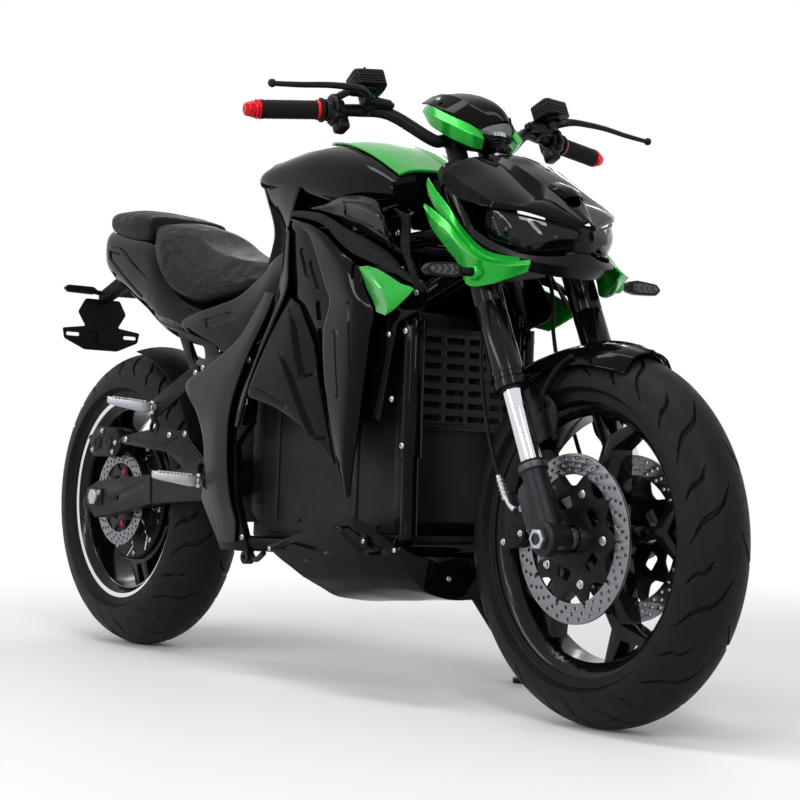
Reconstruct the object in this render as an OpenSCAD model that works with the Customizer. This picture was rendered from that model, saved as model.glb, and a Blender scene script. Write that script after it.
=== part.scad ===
// Electric street motorcycle with a hub motor, twin front discs and layered side panels.
// Modelled upright about the middle of the wheelbase (+X forward, +Y left, +Z up), then leaned
// on its side stand and set with the ground at z = 0.

/* [Chassis] */
// Distance between the axles
wheelbase = 1475; // [1400:5:1550]
// Rake of the steering axis in degrees
rake = 24.5; // [22:0.5:27]
// Trail of the front wheel
trail = 100; // [85:1:115]
// Lean to the left on the side stand in degrees
lean = 2.5; // [1.5:0.1:4]
// Angle the parked bars are turned to the right in degrees
bar_turn = 2; // [0:0.5:4]

/* [Wheels] */
// Radius of the front tyre
front_r = 300; // [292:1:308]
// Width of the front tyre
front_w = 120; // [110:1:130]
// Radius of the rear tyre
rear_r = 321; // [312:1:330]
// Width of the rear tyre
rear_w = 160; // [145:1:170]
// Radius of both rims at the flange
rim_r = 229; // [224:1:232]
// Diameter of the axles
axle_d = 24; // [20:1:28]

/* [Brakes] */
// Radius of the front discs
front_disc_r = 135; // [120:1:145]
// Radius of the rear disc
rear_disc_r = 105; // [95:1:115]
// Thickness of the discs
disc_t = 5; // [4:0.5:6]

/* [Fork] */
// Distance of each fork leg from the middle
fork_half = 105; // [98:1:112]
// Diameter of the black outer tubes
fork_d = 52; // [46:1:56]
// Diameter of the bright inner tubes
inner_d = 41; // [37:1:43]

/* [Controls] */
// Half of the handlebar's width, without the bar ends
bar_half = 370; // [350:5:390]
// Diameter of the handlebar
bar_d = 22; // [22:0.5:24]
// Diameter of the grips
grip_d = 34; // [32:1:37]

/* [Frame] */
// Diameter of the frame's main tubes
tube_d = 30; // [26:1:34]
// Distance of the lower frame tubes from the middle
cradle_half = 122; // [116:1:128]
// Diameter of the swingarm pivot
pivot_d = 20; // [16:1:24]

/* [Body] */
// Thickness of the body panels
panel_t = 5; // [3.5:0.5:7]
// Width of the tank cover
tank_w = 300; // [280:2:316]

/* [Hidden] */
$fn = 48;

front_x = wheelbase / 2;
rear_x = -wheelbase / 2;
axis_x = front_x + trail;
fork_off = front_r * sin(rake) - trail * cos(rake);
axle_s = front_r * cos(rake) + trail * sin(rake);
run = 0.06;
gap = 1;
lift = 0.1;
mid_x = (front_r - rear_r) / 2;
bar_z = 1028;
mid_y = bar_z * sin(lean);
stand_pivot = [120, 184, 238];
stand_tilt = 15;
stand_t = 14;
stand_pin_d = 14;
stand_foot = [260, 262, 20];

// ---------- places ----------

module leaned() {
    translate([-mid_x, -mid_y, lift]) rotate([-lean, 0, 0]) children();
}

// Along the steering axis: z runs up the axis from the ground, x points forward
module on_axis() {
    translate([axis_x, 0, 0]) rotate([0, -rake, 0]) rotate([0, 0, -bar_turn]) children();
}

// A piece of the steering, modelled with the wheel straight
module turned() {
    on_axis() rotate([0, rake, 0]) translate([-axis_x, 0, 0]) children();
}

module at_front() {
    turned() translate([front_x, 0, front_r]) rotate([-90, 0, 0]) children();
}

module at_rear() {
    translate([rear_x, 0, rear_r]) rotate([-90, 0, 0]) children();
}

module both_sides() {
    children();
    mirror([0, 1, 0]) children();
}

// ---------- shapes ----------

function bend(a, b, c, d, t) =
    0.5 * (2 * b + (c - a) * t + (2 * a - 5 * b + 4 * c - d) * t * t
        + (3 * b - a - 3 * c + d) * t * t * t);

function toward(a, b) = (b - a) / norm(b - a);

// A smooth row through points, or a smooth set of rows through rows
function smooth(p, k) = [
    for (i = [0 : len(p) - 2], j = [0 : k - 1])
        bend(p[max(i - 1, 0)], p[i], p[i + 1], p[min(i + 2, len(p) - 1)], j / k),
    p[len(p) - 1]];

function smooth_sheet(rows, k, l) = smooth([for (r = rows) smooth(r, l)], k);

function sum(v, i = 0) = i >= len(v) ? 0 * v[0] : v[i] + sum(v, i + 1);

function ring_way(r) = sum([for (i = [1 : len(r) - 2]) cross(r[i] - r[0], r[i + 1] - r[0])]);

// A closed skin through rings that hold the same number of points
module loft(rings) {
    n = len(rings[0]);
    m = len(rings);
    way = ring_way(rings[floor(m / 2)]) * (sum(rings[m - 1]) - sum(rings[0]));
    faces = [
        for (i = [0 : m - 2], j = [0 : n - 1]) let (k = (j + 1) % n)
            each [[i * n + j, (i + 1) * n + j, (i + 1) * n + k], [i * n + j, (i + 1) * n + k, i * n + k]],
        [for (j = [0 : n - 1]) j],
        [for (j = [n - 1 : -1 : 0]) (m - 1) * n + j]];
    polyhedron([for (r = rings) each r],
        way > 0 ? faces : [for (f = faces) [for (i = [len(f) - 1 : -1 : 0]) f[i]]]);
}

// A panel: a surface given by rows of points, and the same surface set off by one vector
module sheet(rows, off) {
    shell(rows, [for (r = rows) [for (p = r) p + off]], off);
}

// A panel between two surfaces of equal rows; off points from the first to the second in its middle
module shell(rows, backs, off) {
    m = len(rows);
    n = len(rows[0]);
    size = m * n;
    i0 = floor((m - 1) / 2);
    j0 = floor((n - 1) / 2);
    way = cross(rows[i0 + 1][j0] - rows[i0][j0], rows[i0][j0 + 1] - rows[i0][j0]) * off;
    edge = concat([for (j = [0 : n - 2]) j], [for (i = [0 : m - 2]) i * n + n - 1],
        [for (j = [n - 1 : -1 : 1]) (m - 1) * n + j], [for (i = [m - 1 : -1 : 1]) i * n]);
    faces = concat(
        [for (i = [0 : m - 2], j = [0 : n - 2]) let (a = i * n + j)
            each [[a, a + 1, a + n + 1], [a, a + n + 1, a + n]]],
        [for (i = [0 : m - 2], j = [0 : n - 2]) let (a = size + i * n + j)
            each [[a, a + n + 1, a + 1], [a, a + n, a + n + 1]]],
        [for (k = [0 : len(edge) - 1]) let (a = edge[k], b = edge[(k + 1) % len(edge)])
            each [[a, size + a, size + b], [a, size + b, b]]]);
    polyhedron(concat([for (r = rows) each r], [for (r = backs) each r]),
        way < 0 ? faces : [for (f = faces) [f[2], f[1], f[0]]]);
}

// A rounded cross-section of the body in a plane of constant x
function body_ring(x, w, top, low, e = 2.6, n = 24) =
    [for (i = [0 : n - 1]) let (c = cos(360 * (i + 0.5) / n), s = sin(360 * (i + 0.5) / n))
        [x, w * sign(c) * pow(abs(c), 2 / e),
            (top + low) / 2 + (top - low) / 2 * sign(s) * pow(abs(s), 2 / e)]];

// A straight round bar between two points
module bar(a, b, d) {
    v = b - a;
    translate(a) rotate([0, acos(v[2] / norm(v)), atan2(v[1], v[0])])
        cylinder(d = d, h = norm(v));
}

// A bent tube: round bars with a ball at each bend
module tube(points, d) {
    for (i = [0 : len(points) - 2]) bar(points[i], points[i + 1], d);
    for (i = [1 : len(points) - 2]) translate(points[i]) sphere(d = d + 0.6);
}

// A flat plate given by its side view, from y0 over a thickness t toward the left
module side_plate(outline, y0, t) {
    translate([0, y0 + t, 0]) rotate([90, 0, 0]) linear_extrude(t) polygon(outline);
}

// A hose of eight sides swept along points
module hose(points, d) {
    p = smooth(points, 3);
    loft([for (i = [0 : len(p) - 1])
        let (v = p[min(i + 1, len(p) - 1)] - p[max(i - 1, 0)],
            u = cross(v, [0, 1, 0.2]) / norm(cross(v, [0, 1, 0.2])),
            w = cross(v, u) / norm(cross(v, u)))
        [for (a = [0 : 45 : 315]) p[i] + d / 2 * (cos(a) * u + sin(a) * w)]]);
}

// ---------- wheels ----------

module tyre(r, w, rim_w) {
    bead = rim_w / 2 - 6.5;
    core = max(r - w / 2, rim_r + 6);
    wall = min(11, (r - core) / 2);
    rotate_extrude($fn = 96) polygon(concat(
        [[rim_r - 11, -bead], [rim_r + 2, -bead], [rim_r + 2, -bead - 9]],
        [for (a = [-90 : 10 : 90]) [core + (r - core) * cos(a), w / 2 * sin(a)]],
        [[rim_r + 2, bead + 9], [rim_r + 2, bead], [rim_r - 11, bead], [rim_r - 11, bead - 9]],
        [for (a = [65 : -13 : -65]) [core + (r - core - wall) * cos(a), (w / 2 - wall) * sin(a)]],
        [[rim_r - 11, -bead + 9]]));
}

// Rim barrel with a flange on each side, as a revolved profile
module rim_barrel(rim_w) {
    h = rim_w / 2;
    rotate_extrude($fn = 96) polygon([
        [rim_r, -h], [rim_r, -h + 6], [rim_r - 11.5, -h + 6], [rim_r - 11.5, -h + 16],
        [rim_r - 28, -h + 26], [rim_r - 28, h - 26], [rim_r - 11.5, h - 16], [rim_r - 11.5, h - 6],
        [rim_r, h - 6], [rim_r, h], [rim_r - 6, h], [rim_r - 18, h - 4], [rim_r - 34, h - 22],
        [rim_r - 34, -h + 22], [rim_r - 18, -h + 4], [rim_r - 6, -h]]);
}

front_rim_w = front_w * 0.75;
rear_rim_w = rear_w * 0.8;
hub_w = 84;
motor_r = 136;

// Y-shaped spokes of the front rim as a flat outline
module front_spokes() {
    for (k = [0 : 4]) rotate(-6 - 72 * k) {
        polygon([[28, -17], [158, -10], [158, 10], [28, 17]]);
        for (s = [-1, 1]) polygon([[150, s * -10], [168, s * -2], [rim_r - 30, s * 46],
            [rim_r - 30, s * 66], [146, s * 10]]);
    }
}

module front_rim() {
    color("#16171a") leaned() at_front() difference() {
        union() {
            rim_barrel(front_rim_w);
            cylinder(r = 38, h = hub_w, center = true);
            intersection() {
                translate([0, 0, -hub_w / 2]) linear_extrude(hub_w) front_spokes();
                rotate_extrude($fn = 96) polygon([[0, -40], [60, -34], [rim_r - 32, -16],
                    [rim_r - 32, 16], [60, 34], [0, 40]]);
            }
        }
        cylinder(d = axle_d + 2 * run, h = hub_w + 20, center = true);
    }
}

module front_tyre() {
    color("#1b1c1e") leaned() at_front() tyre(front_r, front_w, front_rim_w);
}

// Brake disc: a ring on a carrier with arms, lying on z = 0 upward
module brake_disc(r, inner, hub_r, arms, hole_r) {
    difference() {
        cylinder(r = r, h = disc_t, $fn = 96);
        translate([0, 0, -1]) cylinder(r = inner, h = disc_t + 2, $fn = 96);
        for (k = [0 : 23], j = [0 : 1]) rotate(15 * k + 7.5 * j)
            translate([inner + (r - inner) * (0.3 + 0.4 * j), 0, -1]) cylinder(r = 3.2, h = disc_t + 2, $fn = 16);
    }
    difference() {
        union() {
            cylinder(r = hub_r + 14, h = disc_t);
            for (k = [0 : arms - 1]) rotate(360 / arms * k)
                translate([hub_r, -9, 0.6]) cube([inner + 4 - hub_r, 18, disc_t - 1.2]);
        }
        translate([0, 0, -1]) cylinder(r = hole_r, h = disc_t + 2);
    }
}

front_disc_y = 60;

module front_discs() {
    color("#b9bcc0") leaned() at_front() for (s = [0, 1]) mirror([0, 0, s])
        translate([0, 0, front_disc_y]) brake_disc(front_disc_r, front_disc_r - 34, 44, 5, 22);
    color("#b9bcc0") leaned() at_front() for (s = [0, 1]) mirror([0, 0, s])
        translate([0, 0, hub_w / 2 + 0.1]) difference() {
            cylinder(r = 30, h = front_disc_y - hub_w / 2 + 1);
            translate([0, 0, -1]) cylinder(r = 21, h = 40);
        }
}

module rear_rim() {
    color("#16171a") leaned() at_rear() {
        rim_barrel(rear_rim_w);
        intersection() {
            translate([0, 0, -30]) linear_extrude(60) difference() {
                union() {
                    circle(r = motor_r + 10, $fn = 96);
                    for (k = [0 : 4], s = [-1, 1]) rotate(72 * k + 12)
                        polygon([[motor_r - 2, s * 6], [motor_r - 8, s * 34], [rim_r - 30, s * 30],
                            [rim_r - 28, s * 14]]);
                }
                circle(r = motor_r + 0.1, $fn = 96);
            }
            rotate_extrude($fn = 96) polygon([[0, -30], [motor_r, -26], [rim_r - 32, -14],
                [rim_r - 32, 14], [motor_r, 26], [0, 30]]);
        }
    }
}

module rear_tyre() {
    color("#1b1c1e") leaned() at_rear() tyre(rear_r, rear_w, rear_rim_w);
}

module hub_motor() {
    color("#1d1e21") leaned() at_rear() difference() {
        union() {
            cylinder(r = motor_r, h = 76, center = true, $fn = 96);
            for (s = [0, 1]) mirror([0, 0, s]) {
                translate([0, 0, 38]) cylinder(r1 = 96, r2 = 60, h = 14, $fn = 96);
                for (k = [0 : 9]) rotate(36 * k) translate([118, 0, 37]) cylinder(r = 6, h = 5, $fn = 20);
                translate([0, 0, 50]) cylinder(r = 40, h = 14);
            }
        }
        cylinder(d = axle_d + 2 * run, h = 160, center = true);
    }
}

rear_disc_y = -70;

module rear_disc() {
    color("#b9bcc0") leaned() at_rear() translate([0, 0, rear_disc_y])
        brake_disc(rear_disc_r, rear_disc_r - 30, 40, 5, 22);
}

// ---------- fork and steering ----------

clamp_low = 815;
clamp_top = 955;
clamp_h = 26;
tube_low = 573;
tube_top = clamp_top + clamp_h + 9;
stem_d = 32;
neck_d = 62;

module fork_legs() {
    for (s = [-1, 1]) translate([fork_off, s * fork_half, 0]) children();
}

module fork_tubes() {
    color("#101113") leaned() on_axis() fork_legs() difference() {
        union() {
            translate([0, 0, tube_low]) cylinder(d = fork_d, h = tube_top - tube_low);
            translate([0, 0, tube_low]) cylinder(d = fork_d + 5, h = 14);
            translate([0, 0, tube_low + 26]) cylinder(d = fork_d + 3, h = 8);
            translate([0, 0, tube_top - 1]) cylinder(d = 26, h = 6, $fn = 6);
        }
        translate([0, 0, tube_low - 1]) cylinder(d = inner_d + 2 * run, h = 61);
    }
}

module fork_inners() {
    color("#d5d8dc") leaned() on_axis() fork_legs()
        translate([0, 0, axle_s + 40]) cylinder(d = inner_d, h = tube_low + 60 - axle_s - 40);
}

caliper_r = front_disc_r - 14;

module fork_lowers() {
    color("#6d7177") leaned() on_axis() fork_legs() difference() {
        union() {
            translate([0, 0, axle_s - 24]) cylinder(d = 50, h = 150);
            translate([0, 0, axle_s]) rotate([90, 0, 0]) cylinder(r = 28, h = 46, center = true);
            translate([0, 0, axle_s + 96]) cylinder(d = 56, h = 30);
            translate([-46, -9, axle_s + 20]) cube([46, 18, 80]);
        }
        translate([0, 0, axle_s]) rotate([90, 0, 0]) cylinder(d = axle_d + 0.1, h = 80, center = true);
        translate([0, 0, axle_s + 40]) cylinder(d = inner_d + 0.1, h = 200);
    }
}

module front_axle() {
    color("#8d949c") leaned() at_front() {
        cylinder(d = axle_d, h = 2 * fork_half + 56, center = true);
        for (s = [0, 1]) mirror([0, 0, s]) {
            translate([0, 0, hub_w / 2 + 0.4]) difference() {
                cylinder(r = 18, h = fork_half - 26 - hub_w / 2 - 0.8);
                translate([0, 0, -1]) cylinder(d = axle_d - 1, h = 80);
            }
            translate([0, 0, fork_half + 25.3]) cylinder(r = 17, h = 8, $fn = 6);
        }
    }
}

module clamp(h) {
    difference() {
        linear_extrude(h) {
            for (s = [-1, 1]) translate([fork_off, s * fork_half]) circle(d = fork_d + 8);
            circle(d = 70);
            polygon([[-30, -20], [-30, 20], [fork_off - 22, fork_half + 10], [fork_off + 24, fork_half],
                [fork_off + 6, 0], [fork_off + 24, -fork_half], [fork_off - 22, -fork_half - 10]]);
        }
        for (s = [-1, 1]) translate([fork_off, s * fork_half, -1]) cylinder(d = fork_d + 0.1, h = h + 2);
    }
}

riser_x = -26;
bar_up = clamp_top + 130;

module triple_clamps() {
    color("#141517") leaned() on_axis() {
        translate([0, 0, clamp_low]) clamp(clamp_h);
        translate([0, 0, clamp_top]) clamp(clamp_h);
        translate([0, 0, clamp_low + 2]) cylinder(d = stem_d, h = clamp_top - clamp_low + clamp_h + 8);
        for (s = [-1, 1]) difference() {
            translate([riser_x, s * 36, clamp_top + 4]) cylinder(d = 36, h = bar_up - clamp_top + 14);
            translate([riser_x, 0, bar_up]) rotate([90, 0, 0])
                cylinder(d = bar_d + 0.1, h = 200, center = true);
        }
    }
}

// Half of the bar from the middle to its end, in the steering axis's own directions
function bar_points(s) = [[riser_x, 0, bar_up], [riser_x, s * 85, bar_up],
    [riser_x - 16, s * 150, bar_up + 52], [riser_x - 36, s * 200, bar_up + 65],
    [riser_x - 82, s * bar_half, bar_up + 72]];

// Set a piece on the outer end of the bar, z along the bar outward from the point at y = from
module on_grip(s, from) {
    p = bar_points(s);
    v = p[4] - p[3];
    k = (from - abs(p[3][1])) / (abs(p[4][1]) - abs(p[3][1]));
    on_axis() translate(p[3] + k * v) rotate([0, acos(v[2] / norm(v)), atan2(v[1], v[0])]) children();
}

// A round bar of sixteen sides swept along points
module swept_bar(points, d, k = 3, n = 16) {
    p = smooth(points, k);
    loft([for (i = [0 : len(p) - 1])
        let (v = p[min(i + 1, len(p) - 1)] - p[max(i - 1, 0)],
            u = cross(v, [0.3, 0, 1]) / norm(cross(v, [0.3, 0, 1])),
            w = cross(v, u) / norm(cross(v, u)))
        [for (j = [0 : n - 1]) p[i] + d / 2 * (cos(360 * j / n) * u + sin(360 * j / n) * w)]]);
}

module handlebar() {
    l = bar_points(-1);
    r = bar_points(1);
    color("#17181a") leaned() on_axis()
        swept_bar(concat([l[4], (l[3] + l[4]) / 2, l[3] * 0.85 + l[4] * 0.15, l[3], l[2], l[1]],
            [for (y = [-60 : 30 : 60]) [riser_x, y, bar_up]],
            [r[1], r[2], r[3], r[3] * 0.85 + r[4] * 0.15, (r[3] + r[4]) / 2, r[4]]), bar_d);
}

grip_in = 262;
bar_end = bar_points(1)[4];
bar_bend = bar_points(1)[3];
bar_slope = norm(bar_end - bar_bend) / (bar_end[1] - bar_bend[1]);
grip_len = (bar_half - grip_in) * bar_slope;

module grips() {
    leaned() for (s = [-1, 1]) on_grip(s, grip_in) {
        color("#1c1c1e") difference() {
            union() {
                cylinder(d = grip_d, h = grip_len);
                cylinder(d = grip_d + 8, h = 6);
            }
            translate([0, 0, -1]) cylinder(d = bar_d + 0.3, h = grip_len + 2);
        }
        color("#c01522") translate([0, 0, grip_len + 0.3]) rotate_extrude()
            polygon([[0, 0], [17, 0], [15, 5], [17, 8], [14.5, 14], [11.5, 27], [8, 29], [0, 29]]);
    }
}

module levers() {
    color("#17181a") leaned() on_axis() for (s = [-1, 1]) {
        translate([riser_x + 8, s * 204, bar_up + 57]) cylinder(d = 18, h = 15.01);
        hose([[riser_x + 10, s * 208, bar_up + 64], [riser_x + 28, s * 232, bar_up + 62],
            [riser_x + 34, s * 300, bar_up + 56], [riser_x + 28, s * 408, bar_up + 46]], 9);
        translate([riser_x + 28, s * 414, bar_up + 46]) sphere(d = 15);
    }
}

module switchgear() {
    color("#141517") leaned() for (s = [-1, 1]) {
        on_grip(s, 228) difference() {
            union() {
                cylinder(d = 38, h = 32);
                translate([-20, -16, 3]) cube([40, 32, 24]);
            }
            translate([0, 0, -1]) cylinder(d = bar_d + 0.3, h = 60);
        }
        on_axis() {
            translate([riser_x + 8, s * 200, bar_up + 80]) cylinder(d = 44, h = 30);
            translate([riser_x + 8, s * 204, bar_up + 72]) cylinder(d = 30, h = 10);
            bar([riser_x - 29, s * 241, bar_up + 82], [riser_x + 6, s * 206, bar_up + 90], 14);
        }
    }
}

// ---------- frame ----------

pivot_x = -200;
pivot_z = 380;
head_low = clamp_low + clamp_h + 1;
head_high = clamp_top - 1;

function axis_point(s, off) = [axis_x - s * sin(rake) + off * cos(rake), 0, s * cos(rake) + off * sin(rake)];

module frame_side() {
    head = axis_point((head_low + head_high) / 2, -8);
    shoulder = [300, -cradle_half, 790];
    tube([head + [-14, -18, 10], shoulder, [40, -cradle_half, 700], [-130, -cradle_half, 610]], tube_d);
    tube([head + [-8, -18, -38], [378, -cradle_half, 690], [384, -cradle_half, 290],
        [360, -cradle_half, 262], [-120, -cradle_half, 250]], tube_d);
    bar([384, -cradle_half, 420], [384, -cradle_half, 655], tube_d + 8);
    side_plate([[-310, 605], [-90, 630], [-100, 480], [-150, 440], [-140, 330], [-90, 235],
        [-190, 235], [-270, 330], [-262, 420], [-220, 470], [-310, 560]], -142, 14);
    tube([[-130, -cradle_half, 610], [-300, -78, 680], [-520, -74, 722], [-760, -56, 836]], 25);
    bar([-230, -cradle_half - 10, 545], [-300, -78, 680], 20);
}

module frame() {
    color("#17181a") leaned() difference() {
        union() {
            both_sides() frame_side();
            translate([axis_x, 0, 0]) rotate([0, -rake, 0]) translate([0, 0, head_low])
                cylinder(d = neck_d, h = head_high - head_low);
            bar([300, -cradle_half, 790], [300, cradle_half, 790], 24);
            bar([372, -cradle_half, 262], [372, cradle_half, 262], 24);
            bar([-110, -cradle_half, 250], [-110, cradle_half, 250], 24);
            bar([-430, -76, 705], [-430, 76, 705], 20);
            bar([-750, -57, 831], [-750, 57, 831], 20);
            translate([stand_pivot[0] - 18, 124, 256]) cube([36, 14, 47]);
            translate([stand_pivot[0] - 18, 124, 292]) cube([36, 50, 11]);
            translate([stand_pivot[0] - 18, 163, 224]) cube([36, 8, 79]);
            translate(stand_pivot) rotate([stand_tilt, 0, 0]) rotate([90, 0, 0]) {
                cylinder(d = stand_pin_d, h = stand_t + 24, center = true);
                translate([0, 0, stand_t / 2 + 0.5]) cylinder(r = 13, h = 14);
                translate([0, 0, -stand_t / 2 - 6.5]) cylinder(r = 10.5, h = 6, $fn = 6);
            }
            translate([pivot_x, 0, pivot_z]) rotate([90, 0, 0]) cylinder(d = pivot_d, h = 284, center = true);
        }
        translate([axis_x, 0, 0]) rotate([0, -rake, 0]) translate([0, 0, head_low - 1])
            cylinder(d = stem_d + 2 * run, h = head_high - head_low + 2);
    }
}

battery_half = 105;

module battery_box() {
    color("#202226") leaned() {
        translate([0, battery_half, 0]) rotate([90, 0, 0]) linear_extrude(2 * battery_half)
            polygon([[-112, 296], [-84, 272], [330, 285], [352, 310], [352, 640], [300, 680], [60, 660], [-112, 590]]);
        both_sides() side_plate([[-146, 310], [-112, 288], [-80, 288], [-80, 588], [-112, 602], [-146, 570]],
            -battery_half, 9);
    }
}

module controller_cover() {
    color("#131416") leaned() difference() {
        translate([366, -104, 0]) rotate([90, 0, 90]) linear_extrude(8)
            polygon([[0, 470], [208, 470], [208, 648], [0, 648]]);
        for (k = [0 : 6], c = [-1, 1], j = [0, 1])
            translate([360, c * (22 + 52 * j) - 19, 486 + 22 * k]) cube([20, 38, 9]);
    }
}

arm_out = 130;
arm_t = 34;
// Threads for a paddock stand's spools, 20 deep in the arm's outer faces
spool_x = -640;
spool_z = 322;
spool_d = 10;

module swingarm() {
    color("#1a1b1e") leaned() {
        both_sides() difference() {
            side_plate([[-775, 300], [-775, 340], [-730, 356], [-497, 374], [-375, 388], [-230, 414], [-172, 404],
                [-160, 370], [-180, 340], [-260, 328], [-493, 314], [-740, 276]], -arm_out + 2, arm_t);
            translate([rear_x, 0, rear_r]) rotate([90, 0, 0]) cylinder(d = axle_d + 0.1, h = 400, center = true);
            translate([pivot_x, 0, pivot_z]) rotate([90, 0, 0]) cylinder(d = pivot_d + 0.1, h = 400, center = true);
            translate([spool_x, -arm_out + 22, spool_z]) rotate([90, 0, 0]) cylinder(d = spool_d, h = 40);
        }
        translate([-255, -arm_out + 35, 0]) rotate([-90, 0, 0]) translate([0, 0, 0])
            linear_extrude(2 * arm_out - 70) polygon([[-75, -345], [15, -345], [15, -395], [-75, -390]]);
    }
}

module rear_axle() {
    color("#8d949c") leaned() at_rear() {
        cylinder(d = axle_d, h = 2 * arm_out + 8, center = true);
        for (s = [0, 1]) mirror([0, 0, s]) translate([0, 0, arm_out - 1]) cylinder(r = 18, h = 10, $fn = 6);
        for (s = [0, 1]) mirror([0, 0, s]) translate([0, 0, 64.4]) difference() {
            cylinder(r = 18, h = arm_out - arm_t - 66.8);
            translate([0, 0, -1]) cylinder(d = axle_d - 1, h = 40);
        }
    }
}

module rear_caliper() {
    color("#141517") leaned() difference() {
        side_plate([[-812, 408], [-700, 408], [-676, 430], [-700, 472], [-790, 478], [-826, 446]], -106, 56);
        translate([-900, rear_disc_y - 5, 300]) cube([300, disc_t + 10, 132]);
    }
}

module rear_shock() {
    color("#b8892c") leaned() {
        bar([-225, 0, 440], [-140, 0, 600], 26);
    }
    color("#1b1c1e") leaned() bar([-210, 0, 470], [-160, 0, 565], 56);
}

module hugger() {
    color("#141517") leaned() sheet(
        [for (a = [20 : 10 : 80]) [for (u = [-1 : 0.5 : 1])
            let (r = rear_r + 16 - 14 * u * u)
            [rear_x + r * cos(a), u * 76, rear_r + r * sin(a)]]], [4, 0, 2]);
}

module peg_plates() {
    color("#1a1b1e") leaned() both_sides() {
        side_plate([[-258, 352], [-240, 345], [-240, 395], [-345, 462], [-418, 476], [-590, 454], [-600, 436],
            [-400, 420]], -148.5, 6);
        side_plate([[-300, 560], [-284, 570], [-300, 600], [-470, 530], [-478, 500], [-450, 492]], -148.5, 6);
    }
}

module peg(x, z, out, back, down) {
    a = [x, -154, z];
    b = [x - back, -158 - out, z - down];
    translate([x, -148.5, z]) rotate([90, 0, 0]) cylinder(r = 13, h = 11);
    bar(a, b, 18);
    for (k = [0 : 7]) let (p = a + (b - a) * (0.25 + 0.09 * k))
        translate(p) rotate([0, 0, 90]) cube([5, 26, 22], center = true);
}

module footpegs() {
    color("#c9ccd1") leaned() both_sides() {
        peg(-262, 366, 90, 26, -6);
        peg(-458, 512, 90, 26, -8);
    }
}

// Folds back and up about a pin that is tilted, so that the leg swings in beside the frame
module side_stand() {
    color("#17181a") leaned() {
        difference() {
            union() {
                translate(stand_pivot) rotate([stand_tilt, 0, 0]) rotate([90, 0, 0])
                    cylinder(r = 17, h = stand_t, center = true);
                bar(stand_pivot, stand_pivot + 0.2 * (stand_foot - stand_pivot), 11);
                bar(stand_pivot + 0.15 * (stand_foot - stand_pivot), stand_foot, 22);
            }
            translate(stand_pivot) rotate([stand_tilt, 0, 0]) rotate([90, 0, 0])
                cylinder(d = stand_pin_d + 2 * run, h = 60, center = true);
        }
    }
    color("#17181a") translate([-mid_x, -mid_y, 0]) translate([stand_foot[0], stand_foot[1], 0])
        translate([0, 0, 0]) cylinder(r = 26, h = 9);
}

// ---------- body ----------

module tank_shell() {
    color("#0b0b0d") leaned() loft(smooth([
        body_ring(-174, 62, 952, 936), body_ring(-160, 100, 966, 931), body_ring(-125, 122, 984, 921),
        body_ring(-50, 136, 998, 900), body_ring(60, tank_w / 2 - 3, 1008, 869),
        body_ring(160, tank_w / 2, 998, 844), body_ring(250, tank_w / 2 - 2, 970, 842),
        body_ring(332, tank_w / 2 - 8, 922, 846)], 3));
}

// From the panel's edge round to the back, one row after the other down the neck
neck_rows = [
    [[43, -142, 862], [-70, -122, 894], [-158, -90, 924]],
    [[12, -140, 850], [-64, -116, 876], [-150, -82, 902]],
    [[-6, -138, 828], [-60, -113, 842], [-148, -74, 872]],
    [[-20, -134, 782], [-64, -111, 802], [-150, -72, 836]],
    [[-40, -130, 734], [-88, -109, 768], [-166, -74, 792]],
    [[-72, -126, 712], [-122, -106, 736], [-188, -78, 757]],
    [[-118, -124, 680], [-158, -104, 705], [-213, -82, 719]]];

module tank_neck() {
    rows = smooth_sheet([for (r = neck_rows) full_row(concat(r, [[r[2][0] - 10, 0, r[2][2] + 2]]))], 2, 2);
    color("#0b0b0d") leaned() shell(rows,
        [for (r = rows) [for (p = r) p + panel_t * toward(p, [p[0] + 160, 0, p[2] - 30])]], [1, 0, 0]);
}

// The green cover's section: it lies on the tank from one angle round to the other side
function top_ring(x, w, top, low, from) = let (e = 2 / 2.6, h = (top - low) / 2,
        arc = [for (k = [0 : 11]) let (a = from + (180 - 2 * from) * k / 11)
            [x, w * sign(cos(a)) * pow(abs(cos(a)), e), (top + low) / 2 + h * pow(sin(a), e)]])
    concat([for (p = arc) p + [0, 0, 7]], [for (k = [11 : -1 : 0]) arc[k] + [0, 0, 2 * gap]]);

module tank_top() {
    color("#26b53a") leaned() loft(smooth([
        top_ring(10, 143, 1004, 883, 74), top_ring(60, tank_w / 2 - 3, 1008, 869, 62),
        top_ring(160, tank_w / 2, 998, 844, 46), top_ring(250, tank_w / 2 - 2, 970, 842, 36),
        top_ring(332, tank_w / 2 - 8, 922, 846, 30)], 3));
}

module rider_seat() {
    color("#1d1d1f") leaned() loft(smooth([
        body_ring(-214, 62, 776, 744), body_ring(-235, 98, 784, 730), body_ring(-300, 132, 798, 716),
        body_ring(-370, 146, 818, 718), body_ring(-440, 150, 848, 742), body_ring(-500, 140, 884, 784),
        body_ring(-550, 120, 908, 822), body_ring(-594, 98, 924, 856)], 3));
}

module pillion_seat() {
    color("#1d1d1f") leaned() loft(smooth([
        body_ring(-600, 104, 936, 868), body_ring(-650, 108, 946, 873), body_ring(-730, 100, 956, 890),
        body_ring(-800, 86, 962, 914), body_ring(-829, 66, 961, 934)], 3));
}

// A cross-section as a wall of the panel's thickness, open at the top, with its rim at a height
function tub_ring(x, w, rim, low) = let (top = low + 1.17 * (rim - low), o = body_ring(x, w, top, low, 2.8, 32),
        i = body_ring(x, w - panel_t, top - panel_t, low + panel_t, 2.8, 32))
    concat([for (k = [12 : 35]) o[k % 32]], [for (k = [35 : -1 : 12]) i[k % 32]]);

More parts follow.
